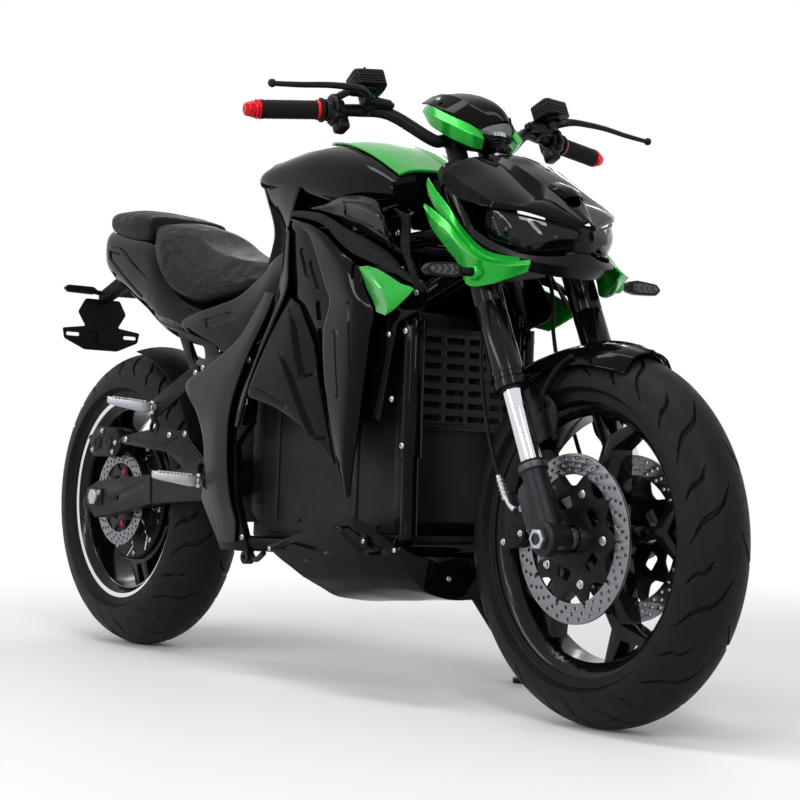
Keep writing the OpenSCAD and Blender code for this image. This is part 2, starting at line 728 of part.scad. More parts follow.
module tail_cowl() {
    color("#0b0b0d") leaned() loft(smooth([
        tub_ring(-300, 118, 704, 630), tub_ring(-420, 124, 722, 638), tub_ring(-520, 122, 768, 660),
        tub_ring(-600, 116, 846, 704), tub_ring(-700, 110, 872, 752), tub_ring(-790, 98, 896, 798),
        tub_ring(-826, 72, 904, 842)], 3));
}

module rear_lamps() {
    color("#a3121b") leaned() translate([-833.99, -60, 852]) cube([8, 120, 36]);
    color("#e08a1a") leaned() both_sides() {
        translate([-980, 0, 0]) rotate([90, 0, 90]) linear_extrude(14)
            polygon([[-108, 793], [-98, 803], [-34, 803], [-24, 798], [-24, 786], [-34, 783], [-98, 784]]);
        bar([-973, -24.1, 790], [-973, -13.99, 790], 12);
    }
}

module plate_bracket() {
    color("#17181a") leaned() {
        translate([-990, 0, 0]) rotate([90, 0, 90]) linear_extrude(5) difference() {
            polygon([[-100, 704], [-95, 680], [-42, 657], [42, 657], [95, 680], [100, 704], [42, 712],
                [62, 744], [44, 776], [-44, 776], [-62, 744], [-42, 712]]);
            for (s = [-1, 1]) hull() for (y = [61, 87]) translate([s * y, 691]) circle(d = 8);
        }
        side_plate([[-986, 765], [-986, 792], [-852, 838], [-800, 796], [-762, 772], [-762, 760], [-850, 800]], -14, 28);
    }
}

module side_fairings() {
    color("#0b0b0d") leaned() both_sides() {
        sheet(smooth_sheet([
            [[34, -158, 857], [73, -166, 849], [113, -168, 840]],
            [[71, -164, 842], [132, -172, 829], [171, -172, 817]],
            [[114, -166, 818], [184, -176, 794], [226, -172, 780]],
            [[149, -168, 768], [233, -180, 754], [273, -172, 752]],
            [[171, -168, 726], [259, -182, 714], [299, -172, 712]],
            [[188, -168, 692], [276, -182, 681], [328, -172, 669]],
            [[172, -168, 645], [273, -182, 622], [318, -170, 635]],
            [[176, -168, 582], [268, -180, 567], [307, -168, 584]],
            [[185, -166, 529], [259, -176, 515], [295, -166, 527]],
            [[202, -164, 467], [250, -172, 459], [284, -164, 470]],
            [[224, -162, 405], [248, -168, 400], [269, -162, 406]],
            [[244, -158, 350], [251, -160, 347], [257, -158, 350]]], 2, 2), [0, panel_t, 0]);
    }
}

module side_covers() {
    color("#101114") leaned() both_sides() {
        sheet(smooth_sheet([
            [[31, -152, 713], [53, -156, 706], [78, -158, 694]],
            [[6, -158, 668], [58, -162, 658], [119, -162, 644]],
            [[-30, -162, 617], [54, -168, 604], [143, -164, 607]],
            [[-62, -164, 565], [43, -168, 549], [158, -166, 560]],
            [[-74, -164, 531], [62, -168, 512], [174, -166, 516]],
            [[-16, -160, 515], [96, -166, 485], [188, -163, 470]],
            [[68, -157, 491], [144, -162, 449], [197, -159, 431]],
            [[150, -154, 435], [181, -156, 420], [203, -156, 407]]], 2, 2), [0, panel_t, 0]);
        sheet(smooth_sheet([
            [[12, -150, 846], [22, -154, 840], [32, -156, 834]],
            [[0, -148, 786], [20, -155, 782], [33, -158, 780]],
            [[-16, -146, 727], [18, -156, 727], [34, -159, 729]],
            [[-40, -150, 667], [-16, -160, 667], [-1, -161, 669]],
            [[-80, -156, 592], [-58, -164, 593], [-48, -164, 597]],
            [[-116, -157, 534], [-92, -164, 534], [-81, -164, 538]],
            [[-140, -155, 474], [-124, -160, 472], [-114, -160, 472]]], 2, 2), [0, panel_t, 0]);
    }
}

module side_tips() {
    color("#26b53a") leaned() both_sides() {
        sheet(smooth_sheet([
            [[279, -172, 750], [312, -176, 749], [344, -180, 742]],
            [[292, -172, 732], [347, -188, 720], [382, -186, 729]],
            [[308, -172, 708], [386, -194, 692], [424, -188, 711]],
            [[329, -173, 685], [396, -192, 671], [464, -192, 697]],
            [[342, -176, 668], [380, -184, 659], [407, -186, 668]]], 2, 2), [0, panel_t, 0]);
    }
}

module air_scoops() {
    color("#0e0f11") leaned() both_sides() {
        sheet(smooth_sheet([
            [[34, -156, 866], [37, -158, 864], [41, -159, 862]],
            [[48, -152, 872], [77, -160, 861], [103, -164, 851]],
            [[129, -156, 860], [154, -168, 846], [167, -170, 832]],
            [[181, -160, 842], [208, -174, 822], [215, -174, 802]],
            [[229, -163, 822], [261, -178, 798], [265, -176, 775]],
            [[295, -166, 798], [321, -182, 776], [320, -178, 756]],
            [[358, -170, 772], [383, -186, 754], [384, -182, 737]],
            [[413, -176, 739], [435, -188, 726], [438, -186, 715]],
            [[453, -184, 716], [459, -186, 712], [462, -188, 708]]], 2, 2), [0, panel_t, 0]);
        sheet(smooth_sheet([
            [[91, -150, 873], [100, -152, 870], [118, -153, 867]],
            [[144, -151, 876], [176, -160, 866], [174, -157, 853]],
            [[186, -152, 884], [237, -172, 858], [226, -161, 831]],
            [[230, -153, 883], [296, -182, 845], [286, -163, 808]],
            [[276, -155, 875], [340, -182, 830], [331, -166, 791]],
            [[319, -158, 856], [366, -180, 814], [356, -167, 780]],
            [[358, -162, 806], [366, -167, 792], [365, -169, 777]]], 2, 2), [0, panel_t, 0]);
        sheet(smooth_sheet([
            [[350, -153, 848], [372, -155, 840], [399, -157, 832]],
            [[376, -154, 824], [388, -156, 810], [403, -157, 798]],
            [[386, -162, 782], [399, -163, 770], [413, -160, 758]],
            [[420, -169, 738], [429, -167, 730], [438, -160, 722]],
            [[446, -174, 705], [451, -168, 701], [456, -160, 697]]], 2, 2), [0, panel_t, 0]);
    }
}

module frame_covers() {
    color("#2a2c31") leaned() both_sides() {
        sheet(smooth_sheet([
            [[-62, -144, 728], [-46, -146, 726], [-30, -145, 723]],
            [[-92, -150, 687], [-62, -153, 680], [-47, -150, 682]],
            [[-137, -155, 640], [-98, -158, 634], [-75, -154, 641]],
            [[-237, -156, 593], [-144, -160, 586], [-105, -157, 596]],
            [[-326, -156, 557], [-197, -161, 544], [-138, -158, 539]],
            [[-276, -156, 497], [-200, -161, 502], [-157, -157, 486]],
            [[-250, -156, 447], [-198, -161, 447], [-160, -156, 447]],
            [[-239, -156, 388], [-194, -160, 389], [-158, -155, 390]],
            [[-223, -153, 330], [-184, -156, 331], [-148, -152, 332]],
            [[-201, -150, 288], [-165, -152, 289], [-129, -150, 291]],
            [[-191, -148, 250], [-162, -149, 249], [-132, -148, 252]]], 2, 2), [0, panel_t, 0]);
    }
}

// Plain inner panels that close the sides behind the outer ones
module side_liners() {
    color("#0d0e10") leaned() both_sides() {
        side_plate([[-44, 528], [2, 656], [32, 720], [46, 800], [62, 838], [330, 838], [362, 826], [362, 790],
            [388, 762], [424, 720], [444, 694], [430, 672], [360, 652], [345, 600], [318, 480], [60, 484]],
            -140.6, 3);
        side_plate([[-296, 600], [-318, 640], [-302, 690], [-262, 708], [-200, 706], [-140, 690], [-118, 664],
            [-150, 632], [-130, 604], [-150, 590], [-260, 590]], -146, 3);
    }
}

module belly_pan() {
    color("#0b0b0d") leaned() {
        rows = smooth_sheet([
            full_row([[-9, -154, 250], [40, -156, 230], [110, -150, 200], [180, -118, 168], [190, -50, 160], [190, 0, 160]]),
            full_row([[133, -156, 287], [160, -159, 240], [196, -150, 202], [222, -118, 174], [232, -50, 164], [232, 0, 164]]),
            full_row([[270, -157, 316], [284, -160, 262], [294, -150, 216], [300, -118, 188], [304, -50, 170], [304, 0, 170]]),
            full_row([[336, -152, 290], [345, -152, 252], [352, -138, 215], [356, -108, 192], [360, -50, 176], [360, 0, 176]]),
            full_row([[386, -147, 266], [392, -143, 244], [400, -124, 216], [408, -92, 190], [412, -45, 178], [412, 0, 178]]),
            full_row([[388, -141, 270], [396, -136, 264], [408, -118, 254], [417, -88, 244], [421, -44, 238], [421, 0, 236]])],
            2, 2);
        shell(rows, [for (r = rows) [for (p = r) p + panel_t * toward(p, [p[0] - 80, 0, 262])]], [0, 0, 1]);
    }
}

// The left half of a row repeats its right half, which runs from the outer edge to the middle
function full_row(r) = concat(r, [for (i = [len(r) - 2 : -1 : 0]) [r[i][0], -r[i][1], r[i][2]]]);

module head_cowl() {
    color("#0b0b0d") leaned() turned() {
        sheet(smooth_sheet([
            full_row([[476, -143, 892], [480, -140, 904], [489, -96, 935], [470, -48, 946], [432, 0, 953]]),
            full_row([[507, -143, 860], [514, -137, 886], [515, -92, 918], [515, -46, 932], [512, 0, 938]]),
            full_row([[592, -136, 834], [599, -131, 843], [595, -92, 870], [580, -46, 894], [572, 0, 902]]),
            full_row([[640, -90, 824], [645, -84, 831], [644, -60, 842], [640, -30, 856], [636, 0, 861]]),
            full_row([[682, -20, 800], [685, -16, 805], [688, -11, 808], [690, -6, 810], [690, 0, 811]])],
            2, 2), [0, 0, -panel_t]);
        sheet(smooth_sheet([
            full_row([[540, -133, 806], [594, -120, 774], [636, -92, 755], [664, -46, 752], [674, 0, 762]]),
            full_row([[546, -136, 790], [596, -126, 764], [640, -97, 748], [664, -52, 738], [672, 0, 738]])],
            2, 2), [-panel_t, 0, 0]);
    }
}

module head_wings() {
    color("#26b53a") leaned() turned() both_sides() sheet(smooth_sheet([
        [[435, -144, 896], [437, -148, 872], [439, -148, 850]],
        [[480, -148, 858], [480, -153, 832], [470, -148, 806]],
        [[527, -147, 820], [530, -157, 796], [505, -148, 774]],
        [[560, -144, 780], [565, -158, 758], [545, -147, 734]],
        [[594, -135, 758], [600, -150, 738], [560, -142, 706]],
        [[627, -114, 748], [630, -128, 732], [610, -126, 710]],
        [[655, -92, 744], [660, -100, 738], [653, -96, 724]]], 2, 2), [0, panel_t, 0]);
}

module front_lamps() {
    color("#22262c") leaned() turned() both_sides() sheet([
        [[594, -126, 828], [588, -124, 805], [580, -116, 786]],
        [[628, -100, 818], [628, -104, 794], [612, -102, 774]],
        [[655, -64, 808], [660, -68, 784], [642, -74, 763]],
        [[678, -16, 794], [680, -16, 784], [668, -16, 772]]], [-7, 3, 0]);
    color("#e8e6df") leaned() turned() both_sides() {
        bar([586, -152, 724], [580, -176, 725], 16);
        side_plate([[566, 714], [590, 710], [600, 724], [592, 738], [568, 736]], -253, 78);
    }
}

// The pod's rows are given for a bar at this height up the steering axis, and follow the bar
pod_bar = 1085;

module instrument_pod() {
    color("#0b0b0d") leaned() on_axis() for (s = [-1, 1])
        translate([riser_x, s * 36, bar_up + 17.99]) cylinder(d = 16, h = 36);
    color("#0b0b0d") leaned() turned() translate((bar_up - pod_bar) * [-sin(rake), 0, cos(rake)]) loft(smooth([
        body_ring(288, 48, 1074, 1050), body_ring(335, 72, 1070, 1018), body_ring(385, 70, 1060, 1002),
        body_ring(430, 46, 1036, 966), body_ring(466, 24, 1004, 974)], 2));
}

module front_fender() {
    color("#0b0b0d") leaned() turned() sheet(
        [for (a = [70 : 8 : 134]) let (r = front_r + 12 + 34 * pow(max(0, a - 95) / 40, 2))
            [for (u = [-1 : 0.25 : 1])
                [front_x + (r - 14 * u * u) * cos(a), 66 * u, front_r + (r - 14 * u * u - 24 * pow(abs(u), 6)) * sin(a)]]],
        [0, 0, 4]);
}

module front_calipers() {
    color("#141517") leaned() at_front() for (s = [0, 1]) mirror([0, 0, s])
        translate([-caliper_r + 2, -22, front_disc_y + disc_t / 2]) difference() {
            translate([-36, -48, -22]) cube([60, 92, 44]);
            translate([-21, -60, -disc_t / 2 - 5]) cube([60, 120, disc_t + 10]);
        }
}

module brake_hoses() {
    color("#0e0e10") leaned() on_axis() for (s = [-1, 1])
        hose([[-60, s * 96, axle_s + 106], [-66, s * 94, axle_s + 206], [-54, s * 86, clamp_low - 175],
            [-30, s * 76, clamp_low - 95], [-4, s * 72, clamp_low - 45], [-2, s * 72, clamp_low + 0.05]], 7);
}

frame();
battery_box();
controller_cover();
tank_shell();
tank_neck();
tank_top();
rider_seat();
pillion_seat();
tail_cowl();
rear_lamps();
plate_bracket();
side_fairings();
side_covers();
side_tips();
air_scoops();
frame_covers();
side_liners();
belly_pan();
swingarm();
rear_axle();
rear_caliper();
rear_shock();
hugger();
peg_plates();
footpegs();
fork_tubes();
fork_inners();
fork_lowers();
front_axle();
triple_clamps();
handlebar();
grips();
levers();
switchgear();
head_cowl();
head_wings();
front_lamps();
instrument_pod();
front_fender();
front_calipers();
brake_hoses();
front_rim();
front_tyre();
front_discs();
rear_rim();
rear_tyre();
hub_motor();
rear_disc();
side_stand();
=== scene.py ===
import math
import bpy, bmesh
from mathutils import Matrix, Vector
from mathutils.bvhtree import BVHTree


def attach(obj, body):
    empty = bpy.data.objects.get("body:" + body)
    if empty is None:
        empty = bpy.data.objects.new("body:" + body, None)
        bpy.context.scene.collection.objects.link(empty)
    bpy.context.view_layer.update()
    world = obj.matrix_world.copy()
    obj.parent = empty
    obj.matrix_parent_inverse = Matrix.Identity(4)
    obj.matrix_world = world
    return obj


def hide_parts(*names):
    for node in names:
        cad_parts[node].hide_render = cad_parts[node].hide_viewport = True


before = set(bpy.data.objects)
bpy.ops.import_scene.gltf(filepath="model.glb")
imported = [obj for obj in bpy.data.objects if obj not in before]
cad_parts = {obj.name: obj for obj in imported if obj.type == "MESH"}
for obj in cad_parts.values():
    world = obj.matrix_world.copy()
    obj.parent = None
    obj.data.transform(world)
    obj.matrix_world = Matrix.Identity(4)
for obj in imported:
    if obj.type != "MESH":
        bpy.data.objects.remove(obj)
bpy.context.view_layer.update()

# sizes of the machine in mm; x runs forward from mid wheelbase, y to the left, z up from the ground
bike = dict(wheelbase=1475, rake=24.5, trail=100, lean=2.5, barTurn=2, frontR=300, rearR=321, rimR=229,
    barZ=1028, lift=0.1, forkHalf=105)


def turnBy(degrees, axis):
    return Matrix.Rotation(math.radians(degrees), 4, axis)


def moveBy(x, y, z):
    return Matrix.Translation((x, y, z))


frontX, rearX = bike["wheelbase"] / 2, -bike["wheelbase"] / 2
axisX = frontX + bike["trail"]
rakeSin, rakeCos = math.sin(math.radians(bike["rake"])), math.cos(math.radians(bike["rake"]))
forkOff = bike["frontR"] * rakeSin - bike["trail"] * rakeCos
axleUp = bike["frontR"] * rakeCos + bike["trail"] * rakeSin

# places: each turns millimetres of one part of the machine into the shared frame in metres
leaned = (Matrix.Scale(0.001, 4) @ moveBy(-(bike["frontR"] - bike["rearR"]) / 2,
    -bike["barZ"] * math.sin(math.radians(bike["lean"])), bike["lift"]) @ turnBy(-bike["lean"], "X"))
onAxis = leaned @ moveBy(axisX, 0, 0) @ turnBy(-bike["rake"], "Y") @ turnBy(-bike["barTurn"], "Z")
turned = onAxis @ turnBy(bike["rake"], "Y") @ moveBy(-axisX, 0, 0)
atFront = turned @ moveBy(frontX, 0, bike["frontR"]) @ turnBy(-90, "X")
atRear = leaned @ moveBy(rearX, 0, bike["rearR"]) @ turnBy(-90, "X")

# camera, floor and lamps
view = dict(place=(2.957, -2.093, 0.476), azimuth=53.14, elevation=-0.85, lens=84.8)
camera = bpy.data.objects.new("camera", bpy.data.cameras.new("camera"))
bpy.context.scene.collection.objects.link(camera)
camera.data.lens = view["lens"]
camera.data.sensor_width = 36
camera.data.clip_end = 60
camera.location = view["place"]
camera.rotation_euler = (math.radians(90 - view["elevation"]), 0, math.radians(view["azimuth"]))
bpy.context.scene.camera = camera
bpy.context.scene.view_settings.view_transform = "Standard"


# materials
def colour(text):
    parts = [int(text[i:i + 2], 16) / 255 for i in (1, 3, 5)]
    return (*[p / 12.92 if p <= 0.04045 else ((p + 0.055) / 1.055) ** 2.4 for p in parts], 1)


def addNode(tree, kind, inputs=None, **settings):
    made = tree.nodes.new(kind)
    for name, value in settings.items():
        setattr(made, name, value)
    for name, value in (inputs or {}).items():
        socket = made.inputs[name]
        if isinstance(value, bpy.types.NodeSocket):
            tree.links.new(value, socket)
        else:
            socket.default_value = value
    return made


# tones: two colours that drift into each other over toneSize mm; rough: range of roughness over roughSize
# mm;
# grain: (pattern, size in mm, depth in mm) for each layer of relief; flakes: size in mm of metallic flakes
surfaces = dict(
    # sprayed ABS panel under clear lacquer: deep black, sharp reflections, faint orange peel and polishing
    # haze
    glossBlackPaint=dict(tones=("#050506", "#08080a"), toneSize=120, rough=(0.035, 0.10), roughSize=55,
                         grain=[("noise", 3.2, 0.004)], shader={"IOR": 1.18}),
    # pearl green lacquer on ABS: metallic flake under a clear coat, edges go darker where the base shows
    pearlGreenPaint=dict(tones=("#0a8822", "#1fb838"), toneSize=140, rough=(0.22, 0.30), roughSize=30,
                         grain=[("noise", 3.0, 0.004)], flakes=0.9,
                         shader={"Metallic": 0.4, "Specular IOR Level": 0.2, "Coat Weight": 0.7,
                             "Coat Roughness": 0.05, "Coat IOR": 1.22}),
    # dark grey lacquer on ABS, a little metallic
    graphitePaint=dict(tones=("#0c0d10", "#121319"), toneSize=90, rough=(0.10, 0.20), roughSize=40,
                       grain=[("noise", 3.0, 0.005)], flakes=0.8, shader={"Metallic": 0.3, "IOR": 1.26}),
    # satin graphite lacquer of the frame covers: lighter and duller than the panels
    satinGraphite=dict(tones=("#141518", "#1b1c20"), toneSize=90, rough=(0.26, 0.36), roughSize=30,
                       grain=[("noise", 2.4, 0.006)], flakes=0.8,
                           shader={"Metallic": 0.3, "Specular IOR Level": 0.3}),
    # powder coat on steel tube: satin, with a fine pebble from the oven
    powderCoat=dict(tones=("#070708", "#0c0c0e"), toneSize=60, rough=(0.34, 0.48), roughSize=25,
                    grain=[("noise", 1.4, 0.02)], lighterEdges=("#232426", 0.4),
                        shader={"Specular IOR Level": 0.13}),
    # moulded PP and ABS trim: matt, spark-eroded texture
    mouldedTrim=dict(tones=("#080809", "#0e0e10"), toneSize=45, rough=(0.55, 0.72), roughSize=12,
                     grain=[("voronoi", 0.9, 0.03)], shader={"Specular IOR Level": 0.12}),
    # semi-gloss moulded ABS of switch blocks, reservoirs and lamp backs
    satinPlastic=dict(tones=("#0a0a0b", "#101012"), toneSize=40, rough=(0.24, 0.38), roughSize=14,
                      grain=[("noise", 0.8, 0.008)], shader={"Specular IOR Level": 0.16}),
    # embossed vinyl on foam: small leather grain, soft highlight
    seatVinyl=dict(tones=("#070708", "#0c0c0e"), toneSize=70, rough=(0.42, 0.60), roughSize=18,
                   grain=[("voronoi", 1.7, 0.10), ("noise", 24, 0.25)],
                       shader={"Specular IOR Level": 0.16}),
    # hard chrome on the fork's sliding tube, polished
    hardChrome=dict(tones=("#c9ccd2", "#dfe2e6"), toneSize=80, rough=(0.04, 0.09), roughSize=20,
                    grain=[("noise", 6, 0.002)], shader={"Metallic": 1.0}),
    # sand-cast aluminium, clear-coated grey, with open grain
    castAluminium=dict(tones=("#1d1f21", "#2a2c30"), toneSize=30, rough=(0.36, 0.52), roughSize=9,
                       grain=[("noise", 1.1, 0.05)], lighterEdges=("#a9adb3", 0.5), shader={"Metallic": 0.8}),
    # bare cast aluminium of the foot pegs, bead-blasted bright
    blastedAluminium=dict(tones=("#a8aaae", "#c6c9cd"), toneSize=22, rough=(0.34, 0.5), roughSize=7,
                          grain=[("noise", 0.9, 0.03)], shader={"Metallic": 0.9}),
    # zinc-plated fasteners
    zincPlate=dict(tones=("#9ea2a8", "#c4c8cc"), toneSize=9, rough=(0.22, 0.38), roughSize=4,
                   grain=[("noise", 0.7, 0.01)], shader={"Metallic": 1.0}),
    # black oxide fasteners
    blackOxide=dict(tones=("#16171a", "#222327"), toneSize=8, rough=(0.3, 0.45), roughSize=4,
                    grain=[("noise", 0.7, 0.01)], shader={"Metallic": 0.7}),
    # tyre tread and wall: vulcanised rubber, dusty black with a moulded sheen
    tyreRubber=dict(tones=("#0b0b0c", "#131315"), toneSize=55, rough=(0.46, 0.62), roughSize=16,
                    grain=[("noise", 0.9, 0.03), ("noise", 14, 0.08)], shader={"Specular IOR Level": 0.14}),
    # grips, hoses and boots: softer rubber
    softRubber=dict(tones=("#0b0b0c", "#121213"), toneSize=20, rough=(0.5, 0.66), roughSize=8,
                    grain=[("noise", 0.8, 0.02)], shader={"Specular IOR Level": 0.14}),
    # high-gloss wheel paint on cast alloy
    wheelPaint=dict(tones=("#060607", "#0b0b0d"), toneSize=70, rough=(0.10, 0.20), roughSize=24,
                    grain=[("noise", 2.0, 0.008)], shader={"IOR": 1.28}),
    # bright-turned rim lip and relief lines: fresh tool marks in aluminium
    turnedAluminium=dict(tones=("#d3d5d8", "#e6e8ea"), toneSize=40, rough=(0.14, 0.24), roughSize=10,
                         grain=[("noise", 1.2, 0.004)], shader={"Metallic": 1.0}),
    # red anodised aluminium: bar ends, rings, disc bobbins
    redAnodised=dict(tones=("#b5101c", "#d2202a"), toneSize=12, rough=(0.20, 0.30), roughSize=5,
                     grain=[("noise", 0.8, 0.006)], shader={"Metallic": 0.85}),
    # stainless braid and spring wire
    braidedSteel=dict(tones=("#8f9398", "#b8bcc1"), toneSize=6, rough=(0.3, 0.42), roughSize=3,
                      grain=[("noise", 0.6, 0.02)], shader={"Metallic": 0.95}),
    # reflector inside the lamps: vacuum-metallised plastic
    lampReflector=dict(tones=("#2a2d34", "#474b54"), toneSize=25, rough=(0.12, 0.2), roughSize=12,
                       grain=[("noise", 5, 0.01)], shader={"Metallic": 1.0}),
    # tail lamp moulding: red acrylic
    redLens=dict(tones=("#5a060a", "#7d0a10"), toneSize=20, rough=(0.06, 0.12), roughSize=20,
                 grain=[("noise", 2.4, 0.02)], shader={"Coat Weight": 0.6}),
    # indicator lens: clear-amber moulding over the LED strip
    amberLens=dict(tones=("#2e3134", "#43474b"), toneSize=12, rough=(0.12, 0.22), roughSize=8,
                   grain=[("voronoi", 2.4, 0.15)]),
    # white LED strip and daylight lamp
    ledWhite=dict(tones=("#dfe3e6", "#f4f6f7"), toneSize=7, rough=(0.2, 0.3), roughSize=7,
                  grain=[("noise", 3.0, 0.02)]),
    # wire gauze behind the intakes
    wireGauze=dict(tones=("#1c1d1f", "#2b2c2f"), toneSize=6, rough=(0.35, 0.5), roughSize=4,
                   grain=[("voronoi", 2.2, 0.4)], shader={"Metallic": 0.7}),
)


def makeSurface(name, tones, toneSize, rough, roughSize, grain, shader=None, flakes=None, lighterEdges=None):
    made = bpy.data.materials.new(name)
    made.use_nodes = True
    tree = made.node_tree
    skin = tree.nodes["Principled BSDF"]
    for socket, value in (shader or {}).items():
        skin.inputs[socket].default_value = value
    here = addNode(tree, "ShaderNodeTexCoord").outputs["Object"]
    drift = addNode(tree, "ShaderNodeTexNoise", {"Vector": here, "Scale": 1000 / toneSize, "Detail": 4})
    tone = addNode(tree, "ShaderNodeMix", {"Factor": drift.outputs["Fac"]}, data_type="RGBA")
    tone.inputs[6].default_value, tone.inputs[7].default_value = colour(tones[0]), colour(tones[1])
    shown = tone.outputs[2]
    if flakes:
        cells = addNode(tree, "ShaderNodeTexVoronoi", {"Vector": here, "Scale": 1000 / flakes})
        bright = addNode(tree, "ShaderNodeMapRange",
            {"Value": cells.outputs["Color"], "To Min": 0.82, "To Max": 1.25})
        shown = addNode(tree, "ShaderNodeVectorMath", {0: shown, 1: bright.outputs["Result"]},
            operation="MULTIPLY").outputs[0]
    if lighterEdges:   # edges made a lighter tone where the mesh is sharp, read from its pointiness
        edge = addNode(tree, "ShaderNodeNewGeometry").outputs["Pointiness"]
        edgeShare = addNode(tree, "ShaderNodeMapRange",
            {"Value": edge, "From Min": 0.53, "From Max": 0.62, "To Max": lighterEdges[1]})
        edgeToned = addNode(tree, "ShaderNodeMix", {"Factor": edgeShare.outputs["Result"]}, data_type="RGBA")
        tree.links.new(shown, edgeToned.inputs[6])
        edgeToned.inputs[7].default_value = colour(lighterEdges[0])
        shown = edgeToned.outputs[2]
    tree.links.new(shown, skin.inputs["Base Color"])
    haze = addNode(tree, "ShaderNodeTexNoise", {"Vector": here, "Scale": 1000 / roughSize, "Detail": 5})
    matt = addNode(tree, "ShaderNodeMapRange", {"Value": haze.outputs["Fac"], "From Min": 0.3,
        "From Max": 0.7, "To Min": rough[0], "To Max": rough[1]})
    tree.links.new(matt.outputs["Result"], skin.inputs["Roughness"])
    normal = None
    for pattern, size, depth in grain:
        kind = {"noise": "ShaderNodeTexNoise", "voronoi": "ShaderNodeTexVoronoi"}[pattern]
        relief = addNode(tree, kind, {"Vector": here, "Scale": 1000 / size})
        height = relief.outputs["Fac" if pattern == "noise" else "Distance"]
        bump = addNode(tree, "ShaderNodeBump", {"Height": height, "Distance": depth / 1000,
            "Strength": 1.0})
        if normal:
            tree.links.new(normal, bump.inputs["Normal"])
        normal = bump.outputs["Normal"]
    tree.links.new(normal, skin.inputs["Normal"])
    return made


finish = {name: makeSurface(name, **values) for name, values in surfaces.items()}


# ground steel of a brake disc: circular grinding marks round the wheel's own axle
def makeDiscSteel(name, place, tones):
    made = bpy.data.materials.new(name)
    made.use_nodes = True
    tree = made.node_tree
    skin = tree.nodes["Principled BSDF"]
    skin.inputs["Metallic"].default_value = 1.0
    here = addNode(tree, "ShaderNodeTexCoord").outputs["Object"]
    back = place.inverted()
    local = addNode(tree, "ShaderNodeMapping", {"Vector": here})
    local.inputs["Location"].default_value = back.translation
    local.inputs["Rotation"].default_value = back.to_euler()
    local.inputs["Scale"].default_value = back.to_scale()
    flat = addNode(tree, "ShaderNodeVectorMath", {0: local.outputs[0], 1: (1, 1, 0)}, operation="MULTIPLY")
    radius = addNode(tree, "ShaderNodeVectorMath", {0: flat.outputs[0]},
        operation="LENGTH").outputs["Value"]
    marks = addNode(tree, "ShaderNodeTexNoise", {"W": radius, "Scale": 1.6, "Detail": 3},
        noise_dimensions="1D")
    ramp = addNode(tree, "ShaderNodeMix", {"Factor": marks.outputs["Fac"]}, data_type="RGBA")
    ramp.inputs[6].default_value, ramp.inputs[7].default_value = colour(tones[0]), colour(tones[1])
    matt = addNode(tree, "ShaderNodeMapRange", {"Value": marks.outputs["Fac"], "To Min": 0.22,
        "To Max": 0.42})
    bump = addNode(tree, "ShaderNodeBump", {"Height": marks.outputs["Fac"], "Distance": 0.00002})
    tree.links.new(ramp.outputs[2], skin.inputs["Base Color"])
    tree.links.new(matt.outputs["Result"], skin.inputs["Roughness"])
    tree.links.new(bump.outputs["Normal"], skin.inputs["Normal"])
    return made


finish["frontDiscSteel"] = makeDiscSteel("groundDiscSteelFront", atFront, ("#6b6d71", "#8e9094"))
finish["rearDiscSteel"] = makeDiscSteel("groundDiscSteelRear", atRear, ("#6b6d71", "#8e9094"))


# clear and smoked acrylic: thin lens walls that show what is behind them
def makeLens(name, tint, share, roughness):
    made = bpy.data.materials.new(name)
    made.use_nodes = True
    skin = made.node_tree.nodes["Principled BSDF"]
    here = addNode(made.node_tree, "ShaderNodeTexCoord").outputs["Object"]
    haze = addNode(made.node_tree, "ShaderNodeTexNoise", {"Vector": here, "Scale": 40, "Detail": 3})
    matt = addNode(made.node_tree, "ShaderNodeMapRange",
        {"Value": haze.outputs["Fac"], "To Min": roughness, "To Max": roughness * 3})
    made.node_tree.links.new(matt.outputs["Result"], skin.inputs["Roughness"])
    skin.inputs["Base Color"].default_value = colour(tint)
    skin.inputs["Transmission Weight"].default_value = 0
    skin.inputs["Alpha"].default_value = share
    skin.inputs["IOR"].default_value = 1.49
    return made


finish["smokedLens"] = makeLens("smokedAcrylic", "#0a0b0d", 0.42, 0.02)
finish["clearLens"] = makeLens("clearAcrylic", "#c8ccd0", 0.18, 0.02)

# finish of each CAD node
nodeFinish = dict(frame="powderCoat", battery_box="powderCoat", controller_cover="mouldedTrim",
    tank_shell="glossBlackPaint", tank_neck="glossBlackPaint", tank_top="pearlGreenPaint",
    rider_seat="seatVinyl", pillion_seat="seatVinyl", tail_cowl="glossBlackPaint", rear_lamps="redLens",
    plate_bracket="mouldedTrim", side_fairings="glossBlackPaint", side_covers="glossBlackPaint",
    side_liners="mouldedTrim", side_tips="pearlGreenPaint", air_scoops="mouldedTrim",
    frame_covers="graphitePaint", belly_pan="glossBlackPaint", swingarm="powderCoat", rear_axle="zincPlate",
    rear_caliper="powderCoat", rear_shock="powderCoat", hugger="mouldedTrim", peg_plates="powderCoat",
    footpegs="blastedAluminium", fork_tubes="wheelPaint", fork_inners="hardChrome",
    fork_lowers="castAluminium", front_axle="zincPlate", triple_clamps="powderCoat", handlebar="powderCoat",
    grips="softRubber", levers="satinPlastic", switchgear="satinPlastic", head_cowl="glossBlackPaint",
    head_wings="pearlGreenPaint", front_lamps="smokedLens", instrument_pod="glossBlackPaint",
    front_fender="glossBlackPaint", front_calipers="powderCoat", brake_hoses="softRubber",
    front_rim="wheelPaint", front_tyre="tyreRubber", front_discs="frontDiscSteel", rear_rim="wheelPaint",
    rear_tyre="tyreRubber", hub_motor="powderCoat", rear_disc="rearDiscSteel", side_stand="powderCoat")
for name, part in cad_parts.items():
    part.data.materials.clear()
    part.data.materials.append(finish[nodeFinish[name]])
print("materials:", len(finish))


# studio
studio = dict(floorSize=40, shadowReach=2.6, skyStrength=0.5)


